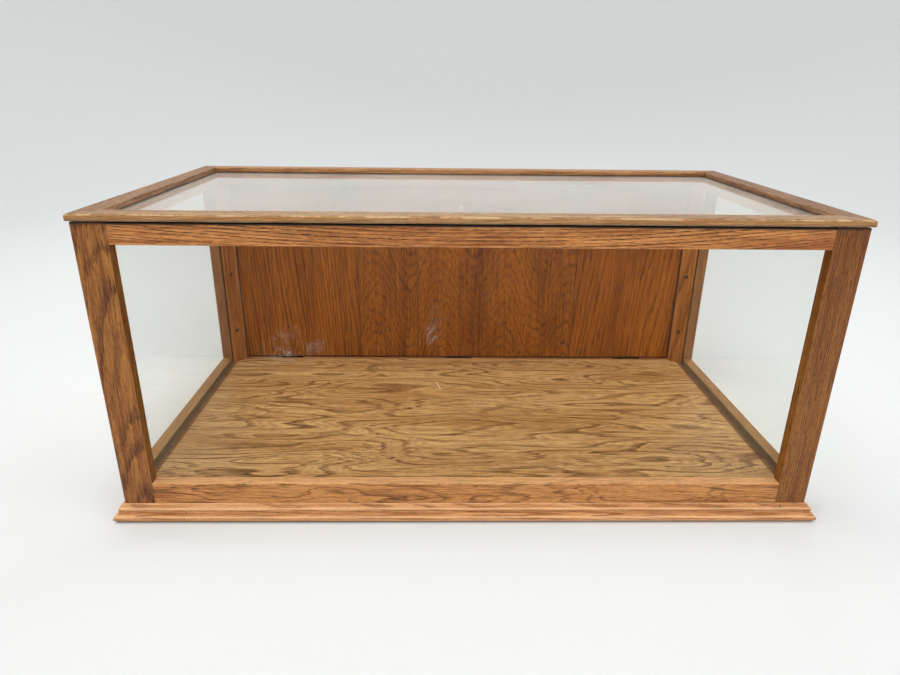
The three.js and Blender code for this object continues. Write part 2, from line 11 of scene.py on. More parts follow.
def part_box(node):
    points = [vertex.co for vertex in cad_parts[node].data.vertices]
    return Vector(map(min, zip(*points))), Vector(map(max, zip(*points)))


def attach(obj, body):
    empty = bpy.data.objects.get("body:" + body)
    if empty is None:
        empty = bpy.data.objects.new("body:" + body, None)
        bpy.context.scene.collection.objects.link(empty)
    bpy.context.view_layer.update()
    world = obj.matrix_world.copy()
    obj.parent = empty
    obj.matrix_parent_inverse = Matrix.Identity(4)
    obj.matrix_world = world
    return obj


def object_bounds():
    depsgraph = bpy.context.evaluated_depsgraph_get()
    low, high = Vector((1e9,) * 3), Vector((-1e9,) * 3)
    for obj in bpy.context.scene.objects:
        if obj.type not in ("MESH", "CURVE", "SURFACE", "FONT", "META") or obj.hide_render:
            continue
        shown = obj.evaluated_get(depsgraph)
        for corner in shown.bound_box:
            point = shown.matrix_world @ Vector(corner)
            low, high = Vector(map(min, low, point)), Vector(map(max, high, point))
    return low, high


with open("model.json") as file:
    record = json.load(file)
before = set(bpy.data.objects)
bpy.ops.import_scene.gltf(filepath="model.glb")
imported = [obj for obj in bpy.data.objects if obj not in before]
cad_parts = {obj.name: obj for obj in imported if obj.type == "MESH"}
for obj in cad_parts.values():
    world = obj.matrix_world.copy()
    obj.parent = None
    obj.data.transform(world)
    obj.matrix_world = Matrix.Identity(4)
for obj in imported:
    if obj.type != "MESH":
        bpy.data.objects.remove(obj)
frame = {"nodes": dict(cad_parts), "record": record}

nodes = frame["nodes"]
cad_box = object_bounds()

MM = 0.001
AXES = {"x": Vector((1, 0, 0)), "y": Vector((0, 1, 0)), "z": Vector((0, 0, 1))}
SMOOTH_UNDER = math.radians(32)
WELD_DISTANCE = 0.01 * MM


# ---- Camera, lights and stage ----

# The camera's place from the middle of the top's front edge, in widths of the case. Its lens and
# its sensor are in millimetres.
CAMERA_OFFSET = Vector((-0.0467, -0.799, 0.149))
CAMERA_PITCH = math.radians(21.17)
CAMERA_YAW = math.radians(1.217)
CAMERA_ROLL = math.radians(0.69)
CAMERA_LENS = 25.87
SENSOR_WIDTH = 36

# Each lamp's place, its two sizes, its power in watts and its colour.
LAMPS = {
    "key_light": ((-0.6, -0.3, 2.7), (1.8, 1.2), 34, (1.0, 0.97, 0.93)),
    "fill_light": ((1.9, -1.3, 1.7), (1.6, 1.6), 15, (0.97, 0.98, 1.0)),
    "back_light": ((0.3, 2.2, 2.2), (2.4, 1.0), 20, (0.98, 0.99, 1.0)),
}
WORLD_COLOUR = (0.86, 0.88, 0.89, 1)
WORLD_STRENGTH = 0.76

STAGE_RADIUS = 4.2
STAGE_HEIGHT = 2.6
STAGE_CURVE = 1.6
STAGE_CURVE_STEPS = 16
STAGE_TURN_STEPS = 96
STAGE_COLOUR = (0.72, 0.725, 0.72, 1)
STAGE_GLOW = (0.93, 0.97, 1.0, 1)
STAGE_GLOW_STRENGTH = 0.09

case_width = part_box("front_right_post")[1].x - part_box("front_left_post")[0].x
case_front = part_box("front_left_post")[0].y
case_top = cad_box[1].z
floor_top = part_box("floor_panel")[1].z


def new_object(name, data):
    made = bpy.data.objects.new(name, data)
    bpy.context.scene.collection.objects.link(made)
    return made


def new_mesh(name, shape, material):
    """A mesh from a bmesh, which it frees, with its faces turned outwards."""
    bmesh.ops.recalc_face_normals(shape, faces=shape.faces[:])
    mesh = bpy.data.meshes.new(name)
    shape.to_mesh(mesh)
    shape.free()
    mesh.materials.append(material)
    return mesh


def add_camera():
    data = bpy.data.cameras.new("camera")
    data.sensor_width = SENSOR_WIDTH
    data.lens = CAMERA_LENS
    camera = new_object("camera", data)
    turn = Matrix.Rotation(-CAMERA_YAW, 4, "Z")
    lean = Matrix.Rotation(math.pi / 2 - CAMERA_PITCH, 4, "X")
    roll = Matrix.Rotation(CAMERA_ROLL, 4, "Z")
    place = Vector((0, case_front, case_top)) + CAMERA_OFFSET * case_width
    camera.matrix_world = Matrix.Translation(place) @ turn @ lean @ roll
    bpy.context.scene.camera = camera


def add_lamp(name, place, size, power, tint):
    """A soft lamp over the case that doesn't show as a bright patch in the panes."""
    data = bpy.data.lights.new(name, "AREA")
    data.shape = "RECTANGLE"
    data.size = size[0]
    data.size_y = size[1]
    data.energy = power
    data.color = tint
    light = new_object(name, data)
    light.location = place
    middle = Vector((0, 0, case_top / 2))
    light.rotation_euler = (middle - Vector(place)).to_track_quat("-Z", "Y").to_euler()
    light.visible_glossy = False


def add_lights():
    for name, lamp in LAMPS.items():
        add_lamp(name, *lamp)
    world = bpy.data.worlds.new("studio")
    world.use_nodes = True
    background = world.node_tree.nodes["Background"]
    background.inputs["Color"].default_value = WORLD_COLOUR
    background.inputs["Strength"].default_value = WORLD_STRENGTH
    bpy.context.scene.world = world


def stage_profile():
    """Half of the stage's section: a flat floor, then a curve up into a low wall."""
    profile = [(0.0, 0.0)]
    flat_radius = STAGE_RADIUS - STAGE_CURVE
    for step in range(STAGE_CURVE_STEPS + 1):
        angle = math.pi / 2 * step / STAGE_CURVE_STEPS
        out = flat_radius + STAGE_CURVE * math.sin(angle)
        profile.append((out, STAGE_CURVE * (1 - math.cos(angle))))
    profile.append((STAGE_RADIUS, STAGE_HEIGHT))
    return profile


def stage_material():
    material, _, shader = new_material("stage", Roughness=0.75, Specular_IOR_Level=0.2)
    shader.inputs["Base Color"].default_value = STAGE_COLOUR
    shader.inputs["Emission Color"].default_value = STAGE_GLOW
    shader.inputs["Emission Strength"].default_value = STAGE_GLOW_STRENGTH
    return material


def add_stage():
    """A pale round floor with a low wall, so that every view has a plain backdrop."""
    shape = bmesh.new()
    rim = [shape.verts.new((out, 0, up)) for out, up in stage_profile()]
    edges = [shape.edges.new(pair) for pair in zip(rim, rim[1:])]
    bmesh.ops.spin(
        shape, geom=rim + edges, cent=(0, 0, 0), axis=(0, 0, 1), angle=2 * math.pi,
        steps=STAGE_TURN_STEPS, use_merge=True,
    )
    bmesh.ops.remove_doubles(shape, verts=shape.verts[:], dist=WELD_DISTANCE)
    for face in shape.faces:
        face.smooth = True
    new_object("stage_floor", new_mesh("stage_floor", shape, stage_material()))


# ---- Tools for node trees ----

class Graph:
    """Adds nodes to one node tree. Most calls give back the output socket that they make."""

    def __init__(self, tree):
        self.tree = tree

    def feed(self, socket, value):
        if isinstance(value, bpy.types.NodeSocket):
            self.tree.links.new(value, socket)
        else:
            socket.default_value = value

    def node(self, kind, inputs=None, **settings):
        made = self.tree.nodes.new(kind)
        for name, value in settings.items():
            setattr(made, name, value)
        for name, value in (inputs or {}).items():
            self.feed(made.inputs[name], value)
        return made

    def math(self, operation, first, second=0.0, clamp=False):
        inputs = {0: first, 1: second}
        return self.node("ShaderNodeMath", inputs, operation=operation, use_clamp=clamp).outputs[0]

    def plus(self, first, second, clamp=False):
        return self.math("ADD", first, second, clamp)

    def minus(self, first, second):
        return self.math("SUBTRACT", first, second)

    def times(self, first, second, clamp=False):
        return self.math("MULTIPLY", first, second, clamp)

    def apart(self, first, second):
        """How far apart two values are."""
        return self.math("ABSOLUTE", self.minus(first, second))

    def vector(self, operation, first, second=(0, 0, 0)):
        return self.node("ShaderNodeVectorMath", {0: first, 1: second}, operation=operation).outputs[0]

    def dot(self, first, second):
        inputs = {0: first, 1: second}
        return self.node("ShaderNodeVectorMath", inputs, operation="DOT_PRODUCT").outputs["Value"]

    def length(self, vector):
        return self.node("ShaderNodeVectorMath", {0: vector}, operation="LENGTH").outputs["Value"]

    def split(self, vector):
        return self.node("ShaderNodeSeparateXYZ", {0: vector}).outputs

    def joined(self, x, y, z):
        return self.node("ShaderNodeCombineXYZ", {0: x, 1: y, 2: z}).outputs[0]

    def noise(self, place, density, detail=2.0, roughness=0.5):
        """Noise from 0 to 1, with density in cells a metre along each axis of place."""
        stretched = self.vector("MULTIPLY", place, density)
        inputs = {"Vector": stretched, "Scale": 1.0, "Detail": detail, "Roughness": roughness}
        return self.node("ShaderNodeTexNoise", inputs).outputs[0]

    def place(self):
        return self.node("ShaderNodeTexCoord").outputs["Object"]

    def normal(self):
        return self.node("ShaderNodeTexCoord").outputs["Normal"]

    def bump(self, shader, height, strength, depth):
        """Gives a shader fine relief from a height of 0 to 1."""
        inputs = {"Height": height, "Strength": strength, "Distance": depth}
        self.feed(shader.inputs["Normal"], self.node("ShaderNodeBump", inputs).outputs[0])

    def around_zero(self, value, amount):
        """A value from 0 to 1, moved to lie around zero and scaled."""
        return self.times(self.minus(value, 0.5), amount)

    def rise(self, value, low, high):
        """0 below low and 1 above high, with a smooth step between them."""
        inputs = {"Value": value, "From Min": low, "From Max": high}
        return self.node("ShaderNodeMapRange", inputs, interpolation_type="SMOOTHSTEP").outputs[0]

    def fall(self, value, low, high):
        """1 below low and 0 above high, with a smooth step between them."""
        return self.minus(1.0, self.rise(value, low, high))

    def blend(self, amount, first, second):
        """The first colour where amount is 0, and the second where it is 1."""
        return self.node("ShaderNodeMix", {0: amount, 6: first, 7: second}, data_type="RGBA").outputs[2]

    def mixed(self, amount, first, second):
        """The first shader where amount is 0, and the second where it is 1."""
        return self.node("ShaderNodeMixShader", {0: amount, 1: first, 2: second}).outputs[0]


def new_group(name, inputs, outputs, kind="ShaderNodeTree"):
    """The graph of an empty node group, with its input node's sockets and its output node."""
    tree = bpy.data.node_groups.new(name, kind)
    for label, kind in inputs.items():
        tree.interface.new_socket(label, in_out="INPUT", socket_type="NodeSocket" + kind)
    for label, kind in outputs.items():
        tree.interface.new_socket(label, in_out="OUTPUT", socket_type="NodeSocket" + kind)
    graph = Graph(tree)
    return graph, graph.node("NodeGroupInput").outputs, graph.node("NodeGroupOutput")


def colour(red, green, blue):
    """A linear colour from three screen values of 0 to 255."""
    def linear(value):
        share = value / 255
        return share / 12.92 if share <= 0.04045 else ((share + 0.055) / 1.055) ** 2.4
    return (linear(red), linear(green), linear(blue), 1.0)


def new_material(name, **shader_values):
    """A material with one Principled node, whose plain values are set on its own sockets."""
    material = bpy.data.materials.new(name)
    material.use_nodes = True
    graph = Graph(material.node_tree)
    shader = material.node_tree.nodes["Principled BSDF"]
    for label, value in shader_values.items():
        shader.inputs[label.replace("_", " ")].default_value = value
    return material, graph, shader


def place_on(name):
    """The centre and the half size of a CAD node's box."""
    low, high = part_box(name)
    return (low + high) / 2, (high - low) / 2


# ---- Oak ----

def edge_distance_group():
    """How far a point on a box-shaped piece is from the nearest edge of that box."""
    inputs = {"Place": "Vector", "Centre": "Vector", "Half size": "Vector"}
    graph, given, result = new_group("edge_distance", inputs, {"Distance": "Float"})
    from_centre = graph.vector("ABSOLUTE", graph.vector("SUBTRACT", given["Place"], given["Centre"]))
    x, y, z = graph.split(graph.vector("SUBTRACT", given["Half size"], from_centre))
    largest = graph.math("MAXIMUM", graph.math("MAXIMUM", x, y), z)
    smallest = graph.math("MINIMUM", graph.math("MINIMUM", x, y), z)
    total = graph.plus(graph.plus(x, y), z)
    others = graph.minus(total, largest)
    graph.feed(result.inputs["Distance"], graph.minus(others, smallest))
    return graph.tree


# Noise densities, in cells a metre along the grain and the two ways across it.
FIBRE_CELLS = (16, 420, 420)
BAND_CELLS = (4, 110, 110)
TONE_CELLS = (3, 16, 16)
DASH_CELLS = (62, 560, 560)
FADING_CELLS = (5, 28, 28)
FINE_PORE_CELLS = (120, 1500, 1500)
MIDDLE_PORE_CELLS = (64, 760, 760)
LONG_PORE_CELLS = (26, 420, 420)
WARP_CELLS = (3.0, 18.0, 18.0)
TEETH_ALONG = 6.0
PATCH_CELLS = (45, 45, 45)

# How squarely a face looks one way, as a cosine, when it starts to count as facing that way and
# when it counts in full.
SIDE_FACING = (0.6, 0.9)

PORE_DEPTH = 0.8
RING_DEPTH = 0.3
PORE_DULLING = 0.16
WEAR_DULLING = 0.14
PATCH_DULLING = 0.16
RING_VARIETY = 0.7
FINE_RINGS_A_RING = 4.0
WEAR_HIGHLIGHT_REACH = 3.0 * MM
WEAR_HIGHLIGHT_LEAST = 0.6 * MM
# How far the painted shade lines reach from the top and the bottom of a board.
PAINTED_SHADE_REACH = 3.0 * MM
PAINTED_SHADE_LEAST = 2.0 * MM


def oak_group(edge_distance):
    """Varnished oak. Its first coordinate runs along the grain, its second across the face of the
    board and its third through the thickness, all in metres from the board's middle."""
    inputs = {label: kind for kind, labels in OAK_INPUTS.items() for label in labels}
    outputs = {"Color": "Color", "Roughness": "Float", "Height": "Float"}
    graph, given, result = new_group("oak", inputs, outputs)
    seeded = graph.vector("ADD", given["Board"], given["Seed"])
    rings, fine_rings = oak_rings(graph, given, seeded)
    early = graph.times(rings, oak_dashes(graph, given, seeded))
    pores = oak_pores(graph, seeded, rings)

    wood = graph.blend(oak_body(graph, given, seeded, rings), given["Light"], given["Middle"])
    wood = graph.blend(graph.times(fine_rings, given["Fine rings"]), wood, given["Dark"])
    wood = graph.blend(graph.times(early, given["Ring strength"]), wood, given["Dark"])
    wood = graph.blend(graph.times(pores, given["Pore strength"]), wood, given["Pore"])

    # Painted light and shade: the face that looks one given way gets its own colour, lighter on some boards
    # and darker on others.
    facing = graph.rise(graph.dot(given["Normal"], given["Side"]), *SIDE_FACING)
    side = graph.times(facing, given["Side share"])
    wood = graph.blend(side, wood, given["Side colour"])

    patches = graph.noise(graph.vector("ADD", given["Place"], given["Seed"]), PATCH_CELLS, 3, 0.65)
    # Worn edges, lightened both as bare wood and as a painted highlight on the arrises.
    worn = oak_wear_and_highlight(graph, given, patches, edge_distance)
    wood = graph.blend(worn, wood, given["Worn"])
    # Painted shade along the board's top and bottom.
    wood = graph.blend(oak_painted_shade(graph, given, patches), wood, SHADE_AND_MARK_COLOUR)

    sunk = graph.plus(graph.times(pores, PORE_DEPTH), graph.times(early, RING_DEPTH))
    dulled = graph.plus(graph.times(pores, PORE_DULLING), graph.times(worn, WEAR_DULLING))
    dulled = graph.plus(dulled, graph.around_zero(patches, PATCH_DULLING))
    graph.feed(result.inputs["Color"], wood)
    graph.feed(result.inputs["Roughness"], graph.plus(dulled, given["Gloss"]))
    graph.feed(result.inputs["Height"], graph.minus(1.0, sunk))
    return graph.tree


def oak_rings(graph, given, seeded):
    """1 at the open-pored start of each growth ring, fading to 0 in its dense wood. The second value
    is the same for the faint lines inside each ring."""
    teeth = graph.joined(TEETH_ALONG, given["Teeth"], given["Teeth"])
    jags = graph.around_zero(graph.noise(seeded, teeth, 2, 0.6), given["Zigzag"])
    along, across, through = graph.split(given["Board"])
    along = graph.plus(along, jags)
    side = graph.minus(across, given["Pith across"])
    depth = graph.minus(through, given["Pith depth"])
    squares = graph.plus(graph.times(side, side), graph.times(depth, depth))
    radius = graph.plus(graph.math("SQRT", squares), graph.times(along, given["Taper"]))
    jagged = graph.vector("ADD", seeded, graph.joined(jags, 0.0, 0.0))
    bends = graph.vector("MULTIPLY", WARP_CELLS, given["Bends"])
    warp = graph.around_zero(graph.noise(jagged, bends, 1.5), given["Warp"])
    radius = graph.plus(graph.plus(radius, warp), given["Figure"])
    count = graph.math("DIVIDE", radius, given["Spacing"])
    counted = graph.joined(count, 0.0, 0.0)
    count = graph.plus(count, graph.around_zero(graph.noise(counted, (0.35, 1, 1), 1), 2.0))
    share = graph.math("FRACT", count)
    rings = graph.times(graph.rise(share, 0.0, 0.06), graph.fall(share, 0.10, given["Ring width"]))
    variety = graph.rise(graph.noise(counted, (0.6, 1, 1), 1), 0.34, 0.60)
    rings = graph.times(rings, graph.plus(graph.times(variety, RING_VARIETY), 1 - RING_VARIETY))
    fine_share = graph.math("FRACT", graph.times(count, FINE_RINGS_A_RING))
    return rings, graph.fall(fine_share, 0.1, 0.7)


def oak_dashes(graph, given, seeded):
    """The breaks along a ring's dark line: all of it where Broken is 0."""
    dashes = graph.rise(graph.noise(seeded, DASH_CELLS, 2, 0.55), 0.42, 0.52)
    whole = graph.minus(1.0, given["Broken"])
    fading = graph.rise(graph.noise(seeded, FADING_CELLS, 2), 0.30, 0.55)
    dashes = graph.plus(graph.times(dashes, given["Broken"]), whole)
    return graph.times(dashes, graph.plus(graph.times(fading, 0.6), 0.4))


def oak_pores(graph, seeded, rings):
    """Open pores: short dark lines along the grain, most of them in the rings."""
    fine = graph.rise(graph.noise(seeded, FINE_PORE_CELLS, 1), 0.55, 0.66)
    middle = graph.rise(graph.noise(seeded, MIDDLE_PORE_CELLS, 2, 0.6), 0.54, 0.64)
    long = graph.rise(graph.noise(seeded, LONG_PORE_CELLS, 2, 0.6), 0.56, 0.66)
    pores = graph.math("MAXIMUM", graph.math("MAXIMUM", fine, middle), graph.times(long, 0.7))
    return graph.times(pores, graph.plus(graph.times(rings, 0.55), 0.45))


def oak_body(graph, given, seeded, rings):
    """0 in the lightest wood and 1 in the deepest coloured, from streaks, bands and slow changes."""
    fibre = graph.noise(seeded, FIBRE_CELLS, 5, 0.75)
    band = graph.noise(seeded, BAND_CELLS, 3, 0.6)
    tone = graph.noise(seeded, TONE_CELLS, 2)
    body = graph.plus(graph.around_zero(fibre, 3.6), graph.around_zero(band, 1.5))
    body = graph.times(body, given["Streaks"])
    body = graph.plus(body, graph.around_zero(tone, 1.7))
    body = graph.plus(body, graph.times(rings, 0.35))
    return graph.plus(body, 0.42, clamp=True)


def oak_wear_and_highlight(graph, given, patches, edge_distance):
    """Where the varnish has worn off along the edges of the board, lightened both as worn wood and as a
    painted highlight on the arrises.
    """
    distance = graph.node("ShaderNodeGroup", node_tree=edge_distance)
    graph.feed(distance.inputs["Place"], given["Place"])
    graph.feed(distance.inputs["Centre"], given["Centre"])
    graph.feed(distance.inputs["Half size"], given["Worn size"])
    reach = graph.plus(graph.times(graph.rise(patches, 0.34, 0.72), WEAR_HIGHLIGHT_REACH), WEAR_HIGHLIGHT_LEAST)
    worn = graph.fall(distance.outputs[0], 0.0, reach)
    return graph.times(worn, given["Wear"], clamp=True)


def oak_painted_shade(graph, given, patches):
    """Painted shade: a dark line along the top of the board, under what overhangs it, and along its bottom.
    """
    from_centre = graph.vector("SUBTRACT", given["Place"], given["Centre"])
    below_top = graph.split(graph.vector("SUBTRACT", given["Half size"], from_centre))[2]
    above_base = graph.split(graph.vector("ADD", given["Half size"], from_centre))[2]
    reach = graph.plus(graph.times(patches, PAINTED_SHADE_REACH), PAINTED_SHADE_LEAST)
    upper = graph.times(graph.fall(below_top, 1.0 * MM, reach), given["Grime above"])
    lower = graph.times(graph.fall(above_base, 0.5 * MM, reach), given["Grime below"])
    return graph.plus(upper, lower, clamp=True)


# The screen colours of each kind of oak, in the order of SHADES.
SHADES = ("Light", "Middle", "Dark", "Pore", "Worn")
OAK_COLOURS = {
    "oak_frame": ((214, 150, 84), (160, 96, 44), (92, 50, 22), (56, 28, 12), (220, 168, 112)),
    "oak_top": ((186, 140, 98), (142, 98, 62), (92, 58, 34), (48, 30, 18), (226, 184, 136)),
    "oak_floor": ((220, 172, 108), (178, 124, 66), (100, 58, 28), (84, 50, 24), (150, 88, 44)),
    "oak_door": ((186, 104, 14), (126, 58, 2), (82, 40, 8), (58, 26, 4), (150, 92, 42)),
    "oak_moulding": ((228, 176, 122), (186, 130, 80), (134, 84, 46), (92, 56, 32), (240, 206, 164)),
    "plain_oak": ((214, 178, 130), (192, 152, 104), (150, 110, 70), (110, 78, 46), (206, 172, 128)),
}
# A dark brown for painted shade lines and a painted contact shadow, and for real dark marks: veneer seams and
# filled nail holes.
SHADE_AND_MARK_COLOUR = colour(34, 20, 10)

# Moves a board's ends out of reach of its edge wear and painted edge highlight, because they are butted or
# mitred.
UNWORN_END = 0.05

OAK_DEFAULTS = {
    "Pith across": 0.09,
    "Pith depth": 0.06,
    "Taper": 0.02,
    "Figure": 0.0,
    "Warp": 0.012,
    "Bends": (1, 1, 1),
    "Zigzag": 0.03,
    "Teeth": 240.0,
    "Spacing": 3.6 * MM,
    "Ring width": 0.55,
    "Ring strength": 0.6,
    "Fine rings": 0.12,
    "Broken": 0.5,
    "Streaks": 1.0,
    "Pore strength": 0.6,
    # The default colour is a dark olive, painted shade for the faces inside the case.
    "Side": (0, 0, 0),
    "Side colour": colour(96, 80, 54),
    "Side share": 0.0,
    "Wear": 0.35,
    "Grime above": 0.0,
    "Grime below": 0.0,
    "Gloss": 0.44,
}
OAK_INPUTS = {
    "Vector": ("Board", "Seed", "Place", "Centre", "Half size", "Worn size", "Bends", "Side", "Normal"),
    "Float": tuple(label for label, value in OAK_DEFAULTS.items() if isinstance(value, float)),
    "Color": (*SHADES, "Side colour"),
}

# What pairs and sets of boards share.
TOP_SIDE_GRAIN = {
    "Ring strength": 0.5, "Spacing": 2.4 * MM, "Streaks": 1.9, "Pore strength": 1.0, "Wear": 0.5,
    "Grime below": 0.8,
}
# The lower side rails' inner faces are darkened as painted shade, and their bottoms get a painted shade line.
LOWER_SIDE_GRAIN = {"Side share": 0.8, "Pore strength": 0.3, "Ring strength": 0.3, "Grime below": 0.3}
MOULDING_GRAIN = {"Broken": 0.2, "Wear": 0.5}
# These tints are partly the wood's own colour and partly painted light and shade: the moulding is lightened,
# and the rear posts and the side rails are darkened.
REAR_POST_TINT = (0.62, 0.56, 0.42)
UPPER_SIDE_TINT = (0.75, 0.68, 0.56)
LOWER_SIDE_TINT = (0.66, 0.70, 0.66)
TOP_SIDE_TINT = (0.84, 0.80, 0.76)
MOULDING_TINT = (1.16, 1.05, 0.98)
NO_TINT = (1, 1, 1)

# How each board was cut: the way its grain runs, the way its broad face looks, how many degrees
# the grain leans on that face, its tint, which is partly the colour of its varnish and partly painted
# light and shade for where the board stands, and what differs from the defaults.
BOARDS = {
    # The inner face of the front left post is darkened as painted shade.
    "front_left_post": ("z", "y", 1.0, (0.72, 0.62, 0.42), {
        "Pith across": 0.004, "Pith depth": 0.05, "Taper": 0.10, "Warp": 0.03, "Zigzag": 0.04,
        "Spacing": 6.5 * MM, "Ring width": 0.6, "Broken": 0.45, "Streaks": 1.3, "Pore strength": 0.9,
        "Grime above": 0.8, "Side": (1, 0, 0), "Side colour": colour(84, 50, 22), "Side share": 0.45,
    }),
    "front_right_post": ("z", "y", -1.0, (0.57, 0.46, 0.25), {
        "Pith across": 0.14, "Spacing": 2.2 * MM, "Warp": 0.006, "Pore strength": 1.0, "Broken": 0.8,
        "Grime above": 0.8,
    }),
    "rear_left_post": ("z", "y", 1.0, REAR_POST_TINT, {"Ring strength": 0.4}),
    "rear_right_post": ("z", "y", -1.0, REAR_POST_TINT, {"Ring strength": 0.4}),
    "front_upper_rail": ("x", "y", 0.0, (1.14, 1.04, 1.00), {
        "Dark": colour(60, 28, 10), "Pith across": 0.30, "Taper": 0.0, "Ring strength": 1.0,
        "Ring width": 0.5, "Spacing": 4.2 * MM, "Broken": 0.85, "Pore strength": 0.9, "Fine rings": 0.1,
        "Streaks": 1.3, "Grime above": 1.0,
    }),
    # The top face of the front lower rail is lightened as painted light, and its bottom gets a painted shade
    # line.
    "front_lower_rail": ("x", "y", 1.0, (1.10, 1.08, 1.10), {
        "Pith depth": 0.5, "Warp": 0.06, "Bends": (2.0, 1.4, 1.4), "Broken": 0.4, "Zigzag": 0.04,
        "Teeth": 320.0, "Ring width": 0.42, "Spacing": 6.5 * MM, "Streaks": 1.3, "Pore strength": 0.75,
        "Wear": 0.9, "Side": (0, 0, 1), "Side colour": colour(232, 190, 142), "Side share": 0.3,
        "Grime below": 0.5,
    }),
    "rear_upper_rail": ("x", "y", 1.0, (0.7, 0.62, 0.5), {}),
    "rear_sill": ("x", "y", -1.0, (0.8, 0.72, 0.6), {}),
    "left_upper_rail": ("y", "x", 2.0, UPPER_SIDE_TINT, {"Grime above": 0.6}),
    "right_upper_rail": ("y", "x", -2.0, UPPER_SIDE_TINT, {"Grime above": 0.6}),
    "left_lower_rail": ("y", "x", 1.5, LOWER_SIDE_TINT, {"Side": (1, 0, 0), **LOWER_SIDE_GRAIN}),
    "right_lower_rail": ("y", "x", -1.5, LOWER_SIDE_TINT, {"Side": (-1, 0, 0), **LOWER_SIDE_GRAIN}),
    "rear_left_corner_cleat": ("z", "y", 0.5, (0.74, 0.62, 0.46), {"Ring strength": 0.35}),
    "rear_right_corner_cleat": ("z", "y", -0.5, (0.78, 0.66, 0.48), {"Ring strength": 0.35}),
    # The front face of the top frame's front member gets a colour of its own as painted light.
    "top_frame_front": ("x", "z", 0.8, (1.14, 1.30, 1.38), {
        "Wear": 0.7, "Ring strength": 0.45, "Spacing": 2.4 * MM, "Streaks": 1.8, "Pore strength": 0.95,
        "Side": (0, -1, 0), "Side colour": colour(195, 133, 70), "Side share": 0.45, "Grime below": 0.6,
    }),
    "top_frame_back": ("x", "z", -0.8, (1.14, 1.04, 0.88), {
        "Wear": 0.5, "Ring strength": 0.4, "Streaks": 1.6, "Grime below": 0.8,
    }),
    "top_frame_left": ("y", "z", 1.0, TOP_SIDE_TINT, TOP_SIDE_GRAIN),
    "top_frame_right": ("y", "z", -1.0, TOP_SIDE_TINT, TOP_SIDE_GRAIN),
    "base_moulding_front": ("x", "y", 0.5, MOULDING_TINT, MOULDING_GRAIN),
    "base_moulding_left": ("y", "x", 0.5, MOULDING_TINT, MOULDING_GRAIN),
    "base_moulding_right": ("y", "x", -0.5, MOULDING_TINT, MOULDING_GRAIN),
    "floor_panel": ("x", "z", 0.0, (0.84, 0.85, 0.92), {
        "Pith across": 0.02, "Pith depth": 5.0, "Taper": 0.0, "Warp": 0.10, "Bends": (1.0, 0.8, 0.8),
        "Zigzag": 0.06, "Teeth": 260.0, "Spacing": 7.0 * MM, "Ring width": 0.40, "Ring strength": 0.95,
        "Broken": 0.35, "Fine rings": 0.3, "Streaks": 1.3, "Wear": 0.0, "Gloss": 0.36,
    }),
    "rear_door": ("z", "y", 0.0, (0.94, 0.98, 0.86), {
        "Pith across": 0.0, "Pith depth": 5.0, "Warp": 0.018, "Zigzag": 0.04, "Teeth": 280.0,
        "Spacing": 5.2 * MM, "Ring width": 0.42, "Ring strength": 0.45, "Broken": 0.4, "Fine rings": 0.2,
        "Streaks": 0.8, "Pore strength": 0.8, "Wear": 0.2, "Grime below": 0.9,
    }),
    "door_knob": ("y", "z", 0.0, (0.85, 0.8, 0.75), {"Pith depth": 0.02, "Wear": 0.0, "Gloss": 0.3}),
}
for strip in ("front_glass_stop", "floor_bearer_front", "floor_bearer_back"):
    BOARDS[strip] = ("x", "y", 0.0, NO_TINT, {})
for strip in ("left_glass_stop", "right_glass_stop", "floor_bearer_left", "floor_bearer_right"):
    BOARDS[strip] = ("y", "x", 0.0, NO_TINT, {})


def board_turn(grain, face, lean):
    """The turn from the row's axes to a board's: along the grain, across the face, through it."""
    normal = AXES[face]
    turn = Matrix.Rotation(math.radians(lean), 3, normal)
    along = turn @ AXES[grain]
    return Matrix((along, normal.cross(along), normal))


SEED_STEP = Vector((0.37, 1.13, 0.71))
PORE_BUMP = 0.25 * MM


class Board:
    """One oak board's material while it is being made."""

    def __init__(self, name, slot, group, seed):
        self.grain, self.face, self.lean, tint, differences = BOARDS[name]
        self.material, self.graph, self.shader = new_material(
            f"oak_{name}",
            Specular_IOR_Level=0.32,
            Coat_Weight=0.05,
            Coat_Roughness=0.22,
        )
        self.centre, self.half = place_on(name)
        self.place = self.graph.place()
        self.x, self.y, self.z = self.graph.split(self.place)
        turn = board_turn(self.grain, self.face, self.lean)
        board = self.graph.node("ShaderNodeMapping", {
            "Vector": self.place,
            "Location": -(turn @ self.centre),
            "Rotation": turn.to_euler(),
        }).outputs[0]
        self.values = {"Board": board, "Place": self.place, "Centre": self.centre, "Half size": self.half}
        self.values["Worn size"] = self.half + AXES[self.grain] * UNWORN_END
        self.values["Normal"] = self.graph.normal()
        self.values["Seed"] = SEED_STEP * seed
        self.values.update(OAK_DEFAULTS)
        for label, screen_colour in zip(SHADES, OAK_COLOURS[slot]):
            shade = colour(*screen_colour)
            self.values[label] = tuple(channel * factor for channel, factor in zip(shade, tint)) + (1.0,)
        self.values.update(differences)
        self.group = group
        self.colour = None

    def paint(self):
        """Feeds the oak group, and joins it to the shader. Its colour can still be added to."""
        oak = self.graph.node("ShaderNodeGroup", node_tree=self.group)
        for label, value in self.values.items():
            self.graph.feed(oak.inputs[label], value)
        self.graph.bump(self.shader, oak.outputs["Height"], 0.5, PORE_BUMP)
        self.graph.feed(self.shader.inputs["Roughness"], oak.outputs["Roughness"])
        self.colour = oak.outputs["Color"]

    def facing(self, way):
        """How squarely the surface looks one way, from -1 to 1."""
        return self.graph.dot(self.values["Normal"], way)

    def cover(self, amount, shade):
        """Paints a colour over the wood where amount is 1."""
        self.colour = self.graph.blend(amount, self.colour, shade)

    def finished(self):
        """The material, with its last colour joined on."""
        self.graph.feed(self.shader.inputs["Base Color"], self.colour)
        return self.material


